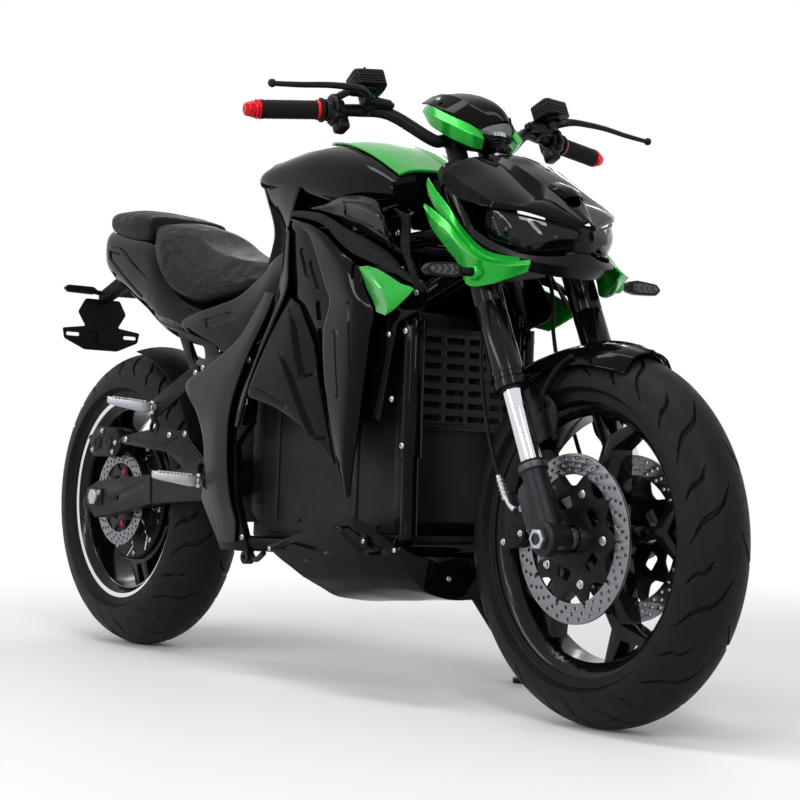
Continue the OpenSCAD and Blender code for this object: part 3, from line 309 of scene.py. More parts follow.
def makeStudio():
    world = bpy.data.worlds.new("studioWorld")
    bpy.context.scene.world = world
    world.use_nodes = True
    tree = world.node_tree
    tree.nodes.clear()
    path = addNode(tree, "ShaderNodeLightPath").outputs
    seen = addNode(tree, "ShaderNodeMath", {0: path["Is Camera Ray"], 1: path["Is Glossy Ray"]},
        operation="MAXIMUM")
    seen = addNode(tree, "ShaderNodeMath", {0: seen.outputs[0], 1: path["Is Transmission Ray"]},
        operation="MAXIMUM")
    plain = addNode(tree, "ShaderNodeBackground",
        {"Color": colour("#f2f4f6"), "Strength": studio["skyStrength"]})
    shown = addNode(tree, "ShaderNodeBackground", {"Color": (1, 1, 1, 1), "Strength": 1.0})
    mix = addNode(tree, "ShaderNodeMixShader", {0: seen.outputs[0], 1: plain.outputs[0],
        2: shown.outputs[0]})
    addNode(tree, "ShaderNodeOutputWorld", {"Surface": mix.outputs[0]})
    mesh = bpy.data.meshes.new("floor")
    s = studio["floorSize"]
    mesh.from_pydata([(-s, -s, 0), (s, -s, 0), (s, s, 0), (-s, s, 0)], [], [(0, 1, 2, 3)])
    floor = bpy.data.objects.new("floor", mesh)
    bpy.context.scene.collection.objects.link(floor)
    # studio paper: white, keeps the soft shadow near the wheels
    paint = bpy.data.materials.new("paperSweep")
    paint.use_nodes = True
    tree = paint.node_tree
    skin = tree.nodes["Principled BSDF"]
    skin.inputs["Base Color"].default_value = colour("#f6f6f6")
    skin.inputs["Roughness"].default_value = 0.6
    skin.inputs["Specular IOR Level"].default_value = 0.2
    here = addNode(tree, "ShaderNodeTexCoord").outputs["Object"]
    far = addNode(tree, "ShaderNodeVectorMath", {0: here}, operation="LENGTH").outputs["Value"]
    fade = addNode(tree, "ShaderNodeMapRange", {"Value": far, "From Min": 0.9,
        "From Max": studio["shadowReach"]}, interpolation_type="SMOOTHSTEP")
    path = addNode(tree, "ShaderNodeLightPath").outputs
    seen = addNode(tree, "ShaderNodeMath", {0: path["Is Camera Ray"], 1: path["Is Glossy Ray"]},
        operation="MAXIMUM")
    part = addNode(tree, "ShaderNodeMath", {0: seen.outputs[0], 1: fade.outputs[0]}, operation="MULTIPLY")
    glow = addNode(tree, "ShaderNodeEmission", {"Color": (1, 1, 1, 1), "Strength": 1.0})
    mix = addNode(tree, "ShaderNodeMixShader", {0: part.outputs[0], 1: skin.outputs[0], 2: glow.outputs[0]})
    tree.links.new(mix.outputs[0], tree.nodes["Material Output"].inputs["Surface"])
    mesh.materials.append(paint)


def softbox(name, place, aim, size, power):
    lamp = bpy.data.lights.new(name, "AREA")
    lamp.shape, lamp.size, lamp.size_y, lamp.energy = "RECTANGLE", size[0], size[1], power
    made = bpy.data.objects.new(name, lamp)
    made.location = place
    made.rotation_euler = (Vector(aim) - Vector(place)).to_track_quat("-Z", "Y").to_euler()
    bpy.context.scene.collection.objects.link(made)


makeStudio()
softbox("boxAbove", (0.2, -0.7, 3.3), (0, 0, 0.5), (3.4, 0.5), 40)
softbox("boxFront", (3.4, -1.6, 2.3), (0.3, 0, 0.5), (0.4, 2.2), 36)
softbox("boxSide", (-0.9, -3.8, 2.3), (-0.2, 0, 0.5), (2.8, 0.35), 40)
softbox("boxEdge", (1.2, -3.7, 1.5), (0.1, 0, 0.6), (0.24, 1.9), 16)
softbox("boxBack", (-2.6, 2.6, 2.4), (-0.2, 0, 0.6), (2.2, 0.4), 14)
print("studio ready")


# shaping: every mesh is made in millimetres in its own place, then put into the shared frame
def meshOf(points, faces, finishAt=0):
    made = bpy.data.meshes.new("work")
    made.from_pydata([tuple(p) for p in points], [], faces)
    for face in made.polygons:
        face.material_index = finishAt
    return made


def worked(mesh, *steps):   # run modifiers over a mesh and keep the result
    holder = bpy.data.objects.new("work", mesh)
    bpy.context.scene.collection.objects.link(holder)
    for kind, values in steps:
        step = holder.modifiers.new(kind, kind)
        for name, value in values.items():
            setattr(step, name, value)
    made = bpy.data.meshes.new_from_object(holder.evaluated_get(bpy.context.evaluated_depsgraph_get()))
    bpy.data.objects.remove(holder)
    bpy.data.meshes.remove(mesh)
    return made


def joined(*meshes):
    built = bmesh.new()
    for mesh in meshes:
        built.from_mesh(mesh)
        bpy.data.meshes.remove(mesh)
    made = bpy.data.meshes.new("work")
    built.to_mesh(made)
    built.free()
    return made


def moved(mesh, matrix):
    mesh.transform(matrix)
    if matrix.determinant() < 0:
        mesh.flip_normals()
    return mesh


def bothSides(mesh):
    other = mesh.copy()
    return joined(mesh, moved(other, Matrix.Scale(-1, 4, (0, 1, 0))))


def outward(mesh):   # merge doubles and point the faces out
    built = bmesh.new()
    built.from_mesh(mesh)
    bmesh.ops.remove_doubles(built, verts=built.verts, dist=0.002)
    bmesh.ops.recalc_face_normals(built, faces=built.faces)
    built.to_mesh(mesh)
    built.free()
    return mesh


def softEdges(mesh, width=1.2, segments=2, angle=38):
    return worked(mesh, ("BEVEL", dict(width=width, segments=segments, limit_method="ANGLE",
        angle_limit=math.radians(angle), harden_normals=False, miter_outer="MITER_ARC",
        use_clamp_overlap=True)))


def put(name, mesh, place, finishName, body, replaced=(), sharp=32):
    mesh.transform(place)
    if place.determinant() < 0:
        mesh.flip_normals()
    mesh.name = name
    mesh.materials.clear()
    mesh.materials.append(finish[finishName])
    mesh.shade_smooth()
    mesh.set_sharp_from_angle(angle=math.radians(sharp))
    piece = bpy.data.objects.new(name, mesh)
    bpy.context.scene.collection.objects.link(piece)
    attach(piece, body)
    if replaced:
        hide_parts(*replaced)
    return piece


def onChassis(name, mesh, finishName, replaced=(), sharp=32):
    return put(name, mesh, leaned, finishName, "chassis", replaced, sharp)


# steers; its places are those of bars held straight
def onHead(name, mesh, finishName, replaced=(), sharp=32):
    return put(name, mesh, turned, finishName, "steering", replaced, sharp)


# steers; its places run along the steering axis
def onFork(name, mesh, finishName, replaced=(), sharp=32):
    return put(name, mesh, onAxis, finishName, "steering", replaced, sharp)


def through(points, steps, sharpAt=()):   # a smooth run through points, broken where it is sharp
    points = [Vector(p) for p in points]
    cuts = [0] + [i for i in sorted(sharpAt) if 0 < i < len(points) - 1] + [len(points) - 1]
    run = []
    for first, last in zip(cuts, cuts[1:]):
        part = points[first:last + 1]
        for i in range(len(part) - 1):
            a, b, c, d = part[max(i - 1, 0)], part[i], part[i + 1], part[min(i + 2, len(part) - 1)]
            for j in range(steps):
                t = j / steps
                run.append(0.5 * (2 * b + (c - a) * t + (2 * a - 5 * b + 4 * c - d) * t * t
                    + (3 * b - a - 3 * c + d) * t ** 3))
    return run + [points[-1]]


def skin(rows, along=5, across=5, sharpRows=(), sharpCols=(), closed=False, finishAt=0):
    runs = [through(r + [r[0]] if closed else r, across, sharpCols) for r in rows]
    cols = [through([r[j] for r in runs], along, sharpRows) for j in range(len(runs[0]))]
    m, n = len(cols[0]), len(cols)
    points = [cols[j][i] for i in range(m) for j in range(n)]
    faces = [(i * n + j, i * n + j + 1, (i + 1) * n + j + 1, (i + 1) * n + j) for i in range(m - 1)
        for j in range(n - 1)]
    made = meshOf(points, faces, finishAt)
    return outward(made) if closed else made


def facing(mesh, way):   # turn the whole skin so that it looks along way
    mesh.update()
    total = sum((f.normal * f.area for f in mesh.polygons), Vector())
    if total.dot(Vector(way)) < 0:
        mesh.flip_normals()
    return mesh


def panel(rows, wall=4.0, way=(0, -1, 0), rim=0.9, **how):
    made = facing(skin(rows, **how), way)
    made = worked(made, ("SOLIDIFY", dict(thickness=wall, offset=-1, use_even_offset=False,
        use_quality_normals=True)))
    return softEdges(made, rim, 2, 62) if rim else made


# press grooves into a finished panel: (x, z) corners going round, depth, width of the slope
def grooved(mesh, *grooves):
    built = bmesh.new()
    built.from_mesh(mesh)
    for corners, depth, slope in grooves:
        corners = [Vector(c) for c in corners]
        if sum(a.x * b.y - b.x * a.y for a, b in zip(corners, corners[1:] + corners[:1])) < 0:
            corners.reverse()
        edges = [(a, Vector((a.y - b.y, b.x - a.x)).normalized()) for a,
            b in zip(corners, corners[1:] + corners[:1])]
        low, high = [Vector((f(c[i] for c in corners) for i in (0, 1))) for f in (min, max)]

        def near(v):
            return low.x - 12 < v.co.x < high.x + 12 and low.y - 12 < v.co.z < high.y + 12

        for inset in (0, slope):
            for a, n in edges:
                faces = [f for f in built.faces if any(near(v) for v in f.verts)]
                geom = faces + list({e for f in faces for e in f.edges}) + list({v for f in faces
                    for v in f.verts})
                at = a + n * inset
                bmesh.ops.bisect_plane(built, geom=geom, dist=0.01, plane_co=(at.x, 0, at.y),
                    plane_no=(n.x, 0, n.y))
        for v in built.verts:
            if near(v):
                inside = min(n.dot(Vector((v.co.x, v.co.z)) - a) for a, n in edges)
                if inside > 0:
                    v.co.y -= math.copysign(depth * min(inside / slope, 1), v.co.y)
    built.to_mesh(mesh)
    built.free()
    return mesh


def fullRow(row):
    return row + [(x, -y, z) for x, y, z in reversed(row[:-1])]


def spun(profile, steps=96, closed=True, finishAt=0, turnTo=360):
    whole = turnTo == 360
    rings = []
    for i in range(steps if whole else steps + 1):
        a = math.radians(turnTo * i / steps)
        rings.append([(r * math.cos(a), r * math.sin(a), z) for r, z in profile])
    n = len(profile)
    points = [p for ring in rings for p in ring]
    faces = []
    for i in range(steps):
        k = (i + 1) % len(rings)
        for j in range(n if closed else n - 1):
            faces.append((i * n + j, k * n + j, k * n + (j + 1) % n, i * n + (j + 1) % n))
    if not whole:
        faces += [tuple(range(n)), tuple(range((len(rings) - 1) * n, len(rings) * n))]
    return outward(meshOf(points, faces, finishAt))


# radius: one value or one for each point
def swept(path, radius, sides=12, steps=4, flat=1.0, finishAt=0, ends=True):
    way = through(path, steps)
    if isinstance(radius, (int, float)):
        radii = [radius] * len(way)
    else:
        radii = [p.x for p in through([(r, 0, 0) for r in radius], steps)]
    points, side = [], None
    for i, here in enumerate(way):
        along = (way[min(i + 1, len(way) - 1)] - way[max(i - 1, 0)]).normalized()
        if side is None:
            side = along.cross(Vector((0.13, 0.21, 1))).normalized()
        side = (side - along * side.dot(along)).normalized()
        up = along.cross(side)
        for k in range(sides):
            a = 2 * math.pi * k / sides
            points.append(here + radii[i] * (math.cos(a) * side + flat * math.sin(a) * up))
    faces = []
    for i in range(len(way) - 1):
        for k in range(sides):
            after = (k + 1) % sides
            faces.append((i * sides + k, i * sides + after, (i + 1) * sides + after, (i + 1) * sides + k))
    if ends:
        faces += [tuple(range(sides))[::-1], tuple(range((len(way) - 1) * sides, len(way) * sides))]
    return outward(meshOf(points, faces, finishAt))


def rod(a, b, radius, sides=24, finishAt=0, edge=0.8):   # a turned pin with its ends eased
    a, b = Vector(a), Vector(b)
    length = (b - a).length
    edge = min(edge, radius * 0.4, length * 0.3)
    profile = [(0, 0), (radius - edge, 0), (radius, edge), (radius, length - edge), (radius - edge, length),
        (0, length)]
    made = spun(profile, sides, closed=False, finishAt=finishAt)
    return moved(made, Matrix.Translation(a) @ (b - a).to_track_quat("Z", "Y").to_matrix().to_4x4())


# a flat plate from outlines; the inner ones are holes
def cutOut(outlines, thickness, ease=0.8, finishAt=0, segments=2):
    curve = bpy.data.curves.new("work", "CURVE")
    curve.dimensions = "2D"
    curve.fill_mode = "BOTH"
    for outline in outlines:
        line = curve.splines.new("POLY")
        line.points.add(len(outline) - 1)
        for point, (x, y) in zip(line.points, outline):
            point.co = (x, y, 0, 1)
        line.use_cyclic_u = True
    curve.extrude = thickness / 2 - ease
    curve.bevel_depth = ease
    curve.offset = -ease
    curve.bevel_resolution = segments - 1
    holder = bpy.data.objects.new("work", curve)
    bpy.context.scene.collection.objects.link(holder)
    made = bpy.data.meshes.new_from_object(holder.evaluated_get(bpy.context.evaluated_depsgraph_get()))
    bpy.data.objects.remove(holder)
    bpy.data.curves.remove(curve)
    for face in made.polygons:
        face.material_index = finishAt
    return outward(made)


def ringOf(radius, steps=64, x=0, y=0):
    return [(x + radius * math.cos(2 * math.pi * i / steps), y + radius * math.sin(2 * math.pi * i / steps))
        for i in range(steps)]


def rounded(outline, radius, steps=4):   # a flat outline with its corners rounded
    made = []
    points = [Vector((*p, 0)) for p in outline]
    for i, here in enumerate(points):
        before, after = points[i - 1], points[(i + 1) % len(points)]
        a, b = (before - here), (after - here)
        cut = min(radius, a.length * 0.45, b.length * 0.45)
        start, end = here + a.normalized() * cut, here + b.normalized() * cut
        for k in range(steps + 1):
            t = k / steps
            p = (1 - t) ** 2 * start + 2 * t * (1 - t) * here + t * t * end
            made.append((p.x, p.y))
    return made


def block(low, high, ease=1.0, finishAt=0):   # a machined block with its edges eased
    built = bmesh.new()
    bmesh.ops.create_cube(built, size=1)
    for v in built.verts:
        for k in range(3):
            v.co[k] = low[k] if v.co[k] < 0 else high[k]
    made = bpy.data.meshes.new("work")
    built.to_mesh(made)
    built.free()
    made = softEdges(made, ease, 2)
    for face in made.polygons:
        face.material_index = finishAt
    return made


# a merged copy of a CAD node, in the shared frame, with its edges eased in mm
def refined(node, ease=0.0, angle=38):
    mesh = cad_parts[node].data.copy()
    mesh.materials.clear()
    built = bmesh.new()
    built.from_mesh(mesh)
    bmesh.ops.remove_doubles(built, verts=built.verts, dist=0.00001)
    bmesh.ops.dissolve_limit(built, angle_limit=math.radians(1.0), verts=built.verts, edges=built.edges)
    built.to_mesh(mesh)
    built.free()
    return softEdges(mesh, ease / 1000, 2, angle) if ease else mesh


here = Matrix.Identity(4)
# a flat outline turned to face forward
faceForward = Matrix(((0, 0, 1, 0), (1, 0, 0, 0), (0, 1, 0, 0), (0, 0, 0, 1)))

# what repeats: a Geometry Nodes tree that sets one item on many points, each with its own facing
def spreadTree():
    tree = bpy.data.node_groups.new("setOnPoints", "GeometryNodeTree")
    for label, kind in (("Points", "NodeSocketGeometry"), ("Item", "NodeSocketObject"),
            ("Item scale", "NodeSocketFloat"), ("Finish", "NodeSocketMaterial")):
        tree.interface.new_socket(label, in_out="INPUT", socket_type=kind)
    tree.interface.new_socket("Geometry", in_out="OUTPUT", socket_type="NodeSocketGeometry")
    given = addNode(tree, "NodeGroupInput").outputs
    facingOf = addNode(tree, "GeometryNodeInputNamedAttribute", {"Name": "facing"},
        data_type="FLOAT_VECTOR")
    rollOf = addNode(tree, "GeometryNodeInputNamedAttribute", {"Name": "roll"}, data_type="FLOAT")
    aimed = addNode(tree, "FunctionNodeAlignRotationToVector", {"Vector": facingOf.outputs["Attribute"]},
        axis="Z")
    roll = addNode(tree, "FunctionNodeAxisAngleToRotation",
        {"Axis": (0, 0, 1), "Angle": rollOf.outputs["Attribute"]})
    both = addNode(tree, "FunctionNodeRotateRotation",
        {"Rotation": aimed.outputs[0], "Rotate By": roll.outputs[0]}, rotation_space="LOCAL")
    item = addNode(tree, "GeometryNodeObjectInfo", {"Object": given["Item"]})
    dots = addNode(tree, "GeometryNodeMeshToPoints", {"Mesh": given["Points"]})
    spread = addNode(tree, "GeometryNodeInstanceOnPoints",
        {"Points": dots.outputs[0], "Instance": item.outputs["Geometry"], "Rotation": both.outputs[0],
        "Scale": given["Item scale"]})
    real = addNode(tree, "GeometryNodeRealizeInstances", {"Geometry": spread.outputs[0]})
    paint = addNode(tree, "GeometryNodeSetMaterial",
        {"Geometry": real.outputs[0], "Material": given["Finish"]})
    addNode(tree, "NodeGroupOutput", {"Geometry": paint.outputs[0]})
    return tree


setOnPoints = spreadTree()


# give a tree its inputs by identifier, run it once and keep a plain mesh
def runTree(tree, base, **inputs):
    holder = bpy.data.objects.new("work", base)
    bpy.context.scene.collection.objects.link(holder)
    step = holder.modifiers.new("shape", "NODES")
    step.node_group = tree
    for socket in tree.interface.items_tree:
        label = socket.name.replace(" ", "_").lower()
        if socket.in_out == "INPUT" and label in inputs:
            step[socket.identifier] = inputs[label]
    made = bpy.data.meshes.new_from_object(holder.evaluated_get(bpy.context.evaluated_depsgraph_get()))
    bpy.data.objects.remove(holder)
    return made


def spreadOn(spots, item, finishName, scale=1.0):   # spots: (place, facing, roll in degrees)
    base = bpy.data.meshes.new("work")
    base.from_pydata([s[0] for s in spots], [], [])
    for label, kind, values in (("facing", "FLOAT_VECTOR", [c for s in spots for c in s[1]]),
            ("roll", "FLOAT", [math.radians(s[2] if len(s) > 2 else 0) for s in spots])):
        attribute = base.attributes.new(label, kind, "POINT")
        attribute.data.foreach_set("vector" if kind == "FLOAT_VECTOR" else "value", values)
    holder = bpy.data.objects.new("item", item)
    bpy.context.scene.collection.objects.link(holder)
    made = runTree(setOnPoints, base, item=holder, item_scale=scale, finish=finish[finishName])
    bpy.data.objects.remove(holder)
    made.materials.clear()
    for face in made.polygons:
        face.material_index = 0
    return made


# fasteners, in mm across the head: button head with a hexagon socket, and a flanged hexagon head
def buttonHead(radius=5.0, height=3.0):
    dome = spun([(0, 0), (radius, 0), (radius, height * 0.25), (radius * 0.86, height * 0.72),
        (radius * 0.55, height), (radius * 0.5, height)], 20, closed=False)
    socket = spun([(radius * 0.5, height), (radius * 0.44, height * 0.9), (radius * 0.44, height * 0.35),
        (0, height * 0.25)], 6, closed=False)
    return joined(dome, socket)


def flangedHead(radius=6.5, height=5.0):
    flange = spun([(0, 0), (radius, 0), (radius, 0.9), (radius * 0.82, 1.5), (0, 1.5)], 24, closed=False)
    head = softEdges(spun([(0, 1.2), (radius * 0.72, 1.2), (radius * 0.72, height), (0, height)], 6,
        closed=False), 0.4, 1, 25)
    return joined(flange, head)


def bolts(name, spots, body, place=None, radius=5.0, kind=None, finishName="zincPlate"):
    item = (kind or buttonHead)(radius, radius * 0.62)
    return put(name, spreadOn(spots, item, finishName), place or leaned, finishName, body)


def boltCircle(count, radius, z, roll=0, turn=0, sides=(-1, 1)):   # seats for bolts round a wheel's axle
    seats = []
    for k in range(count):
        a = 2 * math.pi * (k + turn) / count
        seats += [((radius * math.cos(a), radius * math.sin(a), s * z), (0, 0, s), roll * k) for s in sides]
    return seats


def boltsAt(y, places, roll=20):   # seats for bolts at the same x and z on both sides
    return [((x, s * y, z), (0, s, 0), roll) for s in (-1, 1) for x, z in places]


print("shaping tools ready")


# side panels: rows of points down each panel, right side; mirrored to the left
sidePanels = dict(wall=4.4, rim=0.9)
fairingRows = [[(34, -158, 857), (73, -166, 849), (113, -168, 840)],
    [(71, -164, 842), (132, -172, 829), (171, -172, 817)],
    [(114, -166, 818), (184, -176, 794), (226, -172, 780)],
    [(149, -168, 768), (233, -180, 754), (273, -172, 752)],
    [(171, -168, 726), (259, -182, 714), (299, -172, 712)],
    [(188, -168, 692), (276, -182, 681), (328, -172, 669)],
    [(172, -168, 645), (273, -182, 622), (318, -170, 635)],
    [(176, -168, 582), (268, -180, 567), (307, -168, 584)],
    [(185, -166, 529), (259, -176, 515), (295, -166, 527)],
    [(202, -164, 467), (250, -172, 459), (284, -164, 470)],
    [(224, -162, 405), (248, -168, 400), (269, -162, 406)],
    [(244, -158, 350), (251, -160, 347), (257, -158, 350)]]
bandRows = [[(34, -156, 866), (37, -158, 864), (41, -159, 862)],
    [(48, -152, 872), (77, -160, 861), (103, -164, 851)],
    [(129, -156, 860), (154, -168, 846), (167, -170, 832)],
    [(181, -160, 842), (208, -174, 822), (215, -174, 802)],
    [(229, -163, 822), (261, -178, 798), (265, -176, 775)],
    [(295, -166, 798), (321, -182, 776), (320, -178, 756)],
    [(358, -170, 772), (383, -186, 754), (384, -182, 737)],
    [(413, -176, 739), (435, -188, 726), (438, -186, 715)],
    [(453, -184, 716), (459, -186, 712), (462, -188, 708)]]
scoopRows = [[(91, -150, 873), (100, -152, 870), (118, -153, 867)],
    [(144, -151, 876), (176, -160, 866), (174, -157, 853)],
    [(186, -152, 884), (237, -172, 858), (226, -161, 831)],
    [(230, -153, 883), (296, -182, 845), (286, -163, 808)],
    [(276, -155, 875), (340, -182, 830), (331, -166, 791)],
    [(319, -158, 856), (366, -180, 814), (356, -167, 780)],
    [(358, -162, 806), (366, -167, 792), (365, -169, 777)]]
shroudRows = [[(350, -153, 848), (372, -155, 840), (399, -157, 832)],
    [(376, -154, 824), (388, -156, 810), (403, -157, 798)],
    [(386, -162, 782), (399, -163, 770), (413, -160, 758)],
    [(420, -169, 738), (429, -167, 730), (438, -160, 722)],
    [(446, -174, 705), (451, -168, 701), (456, -160, 697)]]
tipRows = [[(279, -172, 750), (312, -176, 749), (344, -180, 742)],
    [(292, -172, 732), (347, -188, 720), (382, -186, 729)],
    [(308, -172, 708), (386, -194, 692), (424, -188, 711)],
    [(329, -173, 685), (396, -192, 671), (464, -192, 697)],
    [(342, -176, 668), (380, -184, 659), (407, -186, 668)]]
frameCoverRows = [[(-62, -144, 728), (-46, -146, 726), (-30, -145, 723)],
    [(-92, -150, 687), (-62, -153, 680), (-47, -150, 682)],
    [(-137, -155, 640), (-98, -158, 634), (-75, -154, 641)],
    [(-237, -156, 593), (-144, -160, 586), (-105, -157, 596)],
    [(-326, -156, 557), (-197, -161, 544), (-138, -158, 539)],
    [(-276, -156, 497), (-200, -161, 502), (-157, -157, 486)],
    [(-250, -156, 447), (-198, -161, 447), (-160, -156, 447)],
    [(-239, -156, 388), (-194, -160, 389), (-158, -155, 390)],
    [(-223, -153, 330), (-184, -156, 331), (-148, -152, 332)],
    [(-201, -150, 288), (-165, -152, 289), (-129, -150, 291)],
    [(-191, -148, 250), (-162, -149, 249), (-132, -148, 252)]]
stripRows = [[(12, -150, 846), (22, -154, 840), (32, -156, 834)],
    [(0, -148, 786), (20, -155, 782), (33, -158, 780)],
    [(-16, -146, 727), (18, -156, 727), (34, -159, 729)],
    [(-40, -150, 667), (-16, -160, 667), (-1, -161, 669)],
    [(-80, -156, 592), (-58, -164, 593), (-48, -164, 597)],
    [(-116, -157, 534), (-92, -164, 534), (-81, -164, 538)],
    [(-140, -155, 474), (-124, -160, 472), (-114, -160, 472)]]
spearRows = [[(31, -152, 713), (53, -156, 706), (78, -158, 694)],
    [(6, -158, 668), (58, -162, 658), (119, -162, 644)],
    [(-30, -162, 617), (54, -168, 604), (143, -164, 607)],
    [(-62, -164, 565), (43, -168, 549), (158, -166, 560)],
    [(-74, -164, 531), (62, -168, 512), (174, -166, 516)],
    [(-16, -160, 515), (96, -166, 485), (188, -163, 470)],
    [(68, -157, 491), (144, -162, 449), (197, -159, 431)],
    [(150, -154, 435), (181, -156, 420), (203, -156, 407)]]
neckRows = [[(43, -143, 916), (-72, -125, 936), (-164, -92, 948)],
    [(20, -141, 880), (-68, -120, 900), (-156, -86, 920)],
    [(-6, -138, 828), (-60, -113, 842), (-148, -74, 872)],
    [(-20, -134, 782), (-64, -111, 802), (-150, -72, 836)],
    [(-40, -130, 734), (-88, -109, 768), (-166, -74, 792)],
    [(-72, -126, 712), (-122, -106, 736), (-188, -78, 757)],
    [(-118, -124, 680), (-158, -104, 705), (-213, -82, 719)]]


# pressed grooves: corners seen from the side, depth, width of the slope
fairingGrooves = [([(262, 690), (276, 690), (284, 560), (276, 540)], 2.4, 3.0),
    ([(216, 640), (222, 640), (236, 520), (230, 520)], 1.8, 2.2),
    ([(262, 758), (286, 756), (290, 730), (268, 728)], 5.0, 2.0)]
spearGrooves = [([(0, 648), (194, 448), (136, 446)], 9.0, 9.0),
    ([(34, 706), (154, 566), (100, 556)], 9.0, 9.0),
    ([(-66, 546), (-58, 548), (60, 512), (56, 504)], 2.0, 2.6)]


def pairedPanel(rows, grooves=(), **how):
    how.setdefault("wall", sidePanels["wall"])
    how.setdefault("rim", sidePanels["rim"])
    return bothSides(grooved(panel(rows, **how), *grooves))


onChassis("sideFairings", pairedPanel(fairingRows, fairingGrooves, across=8, along=6), "glossBlackPaint",
    ("side_fairings",))
midRows = [[(30, -149, 852), (62, -154, 850), (112, -156, 838)],
    [(34, -149, 790), (90, -156, 784), (154, -159, 774)],
    [(50, -149, 720), (112, -157, 714), (180, -160, 706)],
    [(90, -149, 650), (142, -157, 644), (190, -160, 640)],
    [(124, -149, 590), (158, -156, 586), (192, -158, 584)],
    [(150, -149, 530), (176, -154, 528), (198, -156, 526)],
    [(176, -149, 470), (192, -153, 468), (208, -154, 466)]]
midGrooves = [([(128, 700), (150, 698), (156, 664), (136, 664)], 5.0, 2.0),
    ([(136, 650), (156, 648), (162, 616), (144, 616)], 5.0, 2.0),
    ([(60, 800), (78, 800), (110, 744), (90, 744)], 4.0, 3.0),
    ([(98, 772), (112, 776), (146, 722), (134, 716)], 4.0, 3.0)]
onChassis("midPanels", pairedPanel(midRows, midGrooves, along=6, across=6), "glossBlackPaint")
onChassis("sideBands", pairedPanel(bandRows, sharpCols=(1,)), "mouldedTrim")
onChassis("airScoops", pairedPanel(scoopRows, along=7, across=7), "glossBlackPaint",
    ("air_scoops",))
# wire mesh let into each scoop, with a thin bright-edged frame round it
insetRows = [[tuple((Vector(a) + Vector(b)) / 2 + Vector((0, -2.4, 0))) for a,
    b in ((r[0], r[1]), (r[1], r[1]), (r[1], r[2]))] for r in scoopRows[2:6]]
insetEdge = [r[0] for r in insetRows] + [insetRows[-1][1]] + [r[2]
    for r in reversed(insetRows)] + [insetRows[0][1], insetRows[0][0]]
onChassis("scoopMeshes", bothSides(panel(insetRows, wall=1.6, rim=0.4, along=7, across=7)), "wireGauze")
onChassis("scoopFrames", bothSides(swept(insetEdge, 2.2, 8, 6)), "glossBlackPaint")
onChassis("lampShrouds", pairedPanel(shroudRows), "mouldedTrim")
onChassis("greenTips", pairedPanel(tipRows, [([(308, 744), (322, 748), (388, 706), (376, 700)], 3.0, 3.4)],
    sharpCols=(1,), along=6, across=6), "pearlGreenPaint", ("side_tips",))
onChassis("frameCovers", pairedPanel(frameCoverRows), "satinGraphite", ("frame_covers",))
onChassis("darkStrips", pairedPanel(stripRows), "glossBlackPaint")
onChassis("sideSpears", pairedPanel(spearRows, spearGrooves, along=6, across=8), "glossBlackPaint",
    ("side_covers",))
neck = panel([fullRow(r + [(r[2][0] - 10, 0, r[2][2] + 2)]) for r in neckRows], wall=4.5, way=(-1, 0, 0),
    along=6)
onChassis("tankNeck", neck, "glossBlackPaint", ("tank_neck",))
print("side panels ready")

# the panel under the seat, between the tail and the frame covers
underSeatRows = [[(-404, -122, 694), (-402, -126, 684), (-398, -124, 672)],
    [(-330, -126, 706), (-328, -134, 676), (-322, -130, 646)],
    [(-250, -128, 716), (-248, -138, 672), (-246, -134, 626)],
    [(-180, -129, 728), (-180, -140, 674), (-182, -136, 614)],
    [(-110, -130, 758), (-112, -142, 700), (-116, -138, 628)],
    [(-50, -132, 792), (-54, -144, 736), (-60, -140, 672)],
    [(4, -134, 806), (0, -144, 770), (-4, -142, 716)]]
underSeat = pairedPanel(underSeatRows, [([(-300, 690), (-190, 700), (-176, 684), (-286, 668)], 3.0, 3.0)])
onChassis("underSeatPanels", underSeat, "glossBlackPaint")

# tank, seats and tail: closed bodies through cross-sections (x, half width, top, low, squareness)
def bodyRing(x, width, top, low, square=2.6, steps=40):
    ring = []
    for i in range(steps):
        a = 2 * math.pi * (i + 0.5) / steps
        c, s = math.cos(a), math.sin(a)
        ring.append((x, math.copysign(width * abs(c) ** (2 / square), c),
            (top + low) / 2 + math.copysign((top - low) / 2 * abs(s) ** (2 / square), s)))
    return ring


def capped(mesh):   # close the open ends
    built = bmesh.new()
    built.from_mesh(mesh)
    bmesh.ops.holes_fill(built, edges=[e for e in built.edges if e.is_boundary], sides=0)
    bmesh.ops.recalc_face_normals(built, faces=built.faces)
    built.to_mesh(mesh)
    built.free()
    return mesh


def bodyOf(rings, along=6, ease=4.0, steps=40):
    made = capped(skin([bodyRing(*r, steps=steps) for r in rings], along=along, across=1, closed=True))
    return softEdges(made, ease, 3, 50)


tank = dict(edge=5.0)
tankRings = [(-172, 60, 951, 937), (-160, 99, 965, 932), (-125, 121, 983, 922), (-50, 135, 997, 901),
    (60, 146, 1007, 870), (160, 149, 997, 845), (250, 147, 969, 843), (330, 141, 921, 847)]
onChassis("tankCover", bodyOf(tankRings, ease=tank["edge"]), "glossBlackPaint",
    ("tank_shell",))


def topRows(rings, lift, ways=9):   # the green cover's surface, from its right edge over to its left one
    rows = []
    for x, width, top, low, start in rings:
        e, half = 2 / 2.6, (top - low) / 2
        row = []
        for k in range(ways):
            a = math.radians(180 - start - (180 - 2 * start) * k / (ways - 1))
            c = math.cos(a)
            row.append((x, math.copysign(width * abs(c) ** e, c),
                (top + low) / 2 + half * math.sin(a) ** e + lift))
        rows.append(row)
    return rows


topRings = [(12, 143, 1004, 883, 74), (60, 147, 1008, 869, 62), (160, 150, 998, 844, 46),
    (250, 148, 970, 842, 36), (331, 142, 922, 846, 30)]
top = panel(topRows(topRings, 6.6), wall=4.4, way=(0, 0, 1), rim=1.4, along=8, across=4)
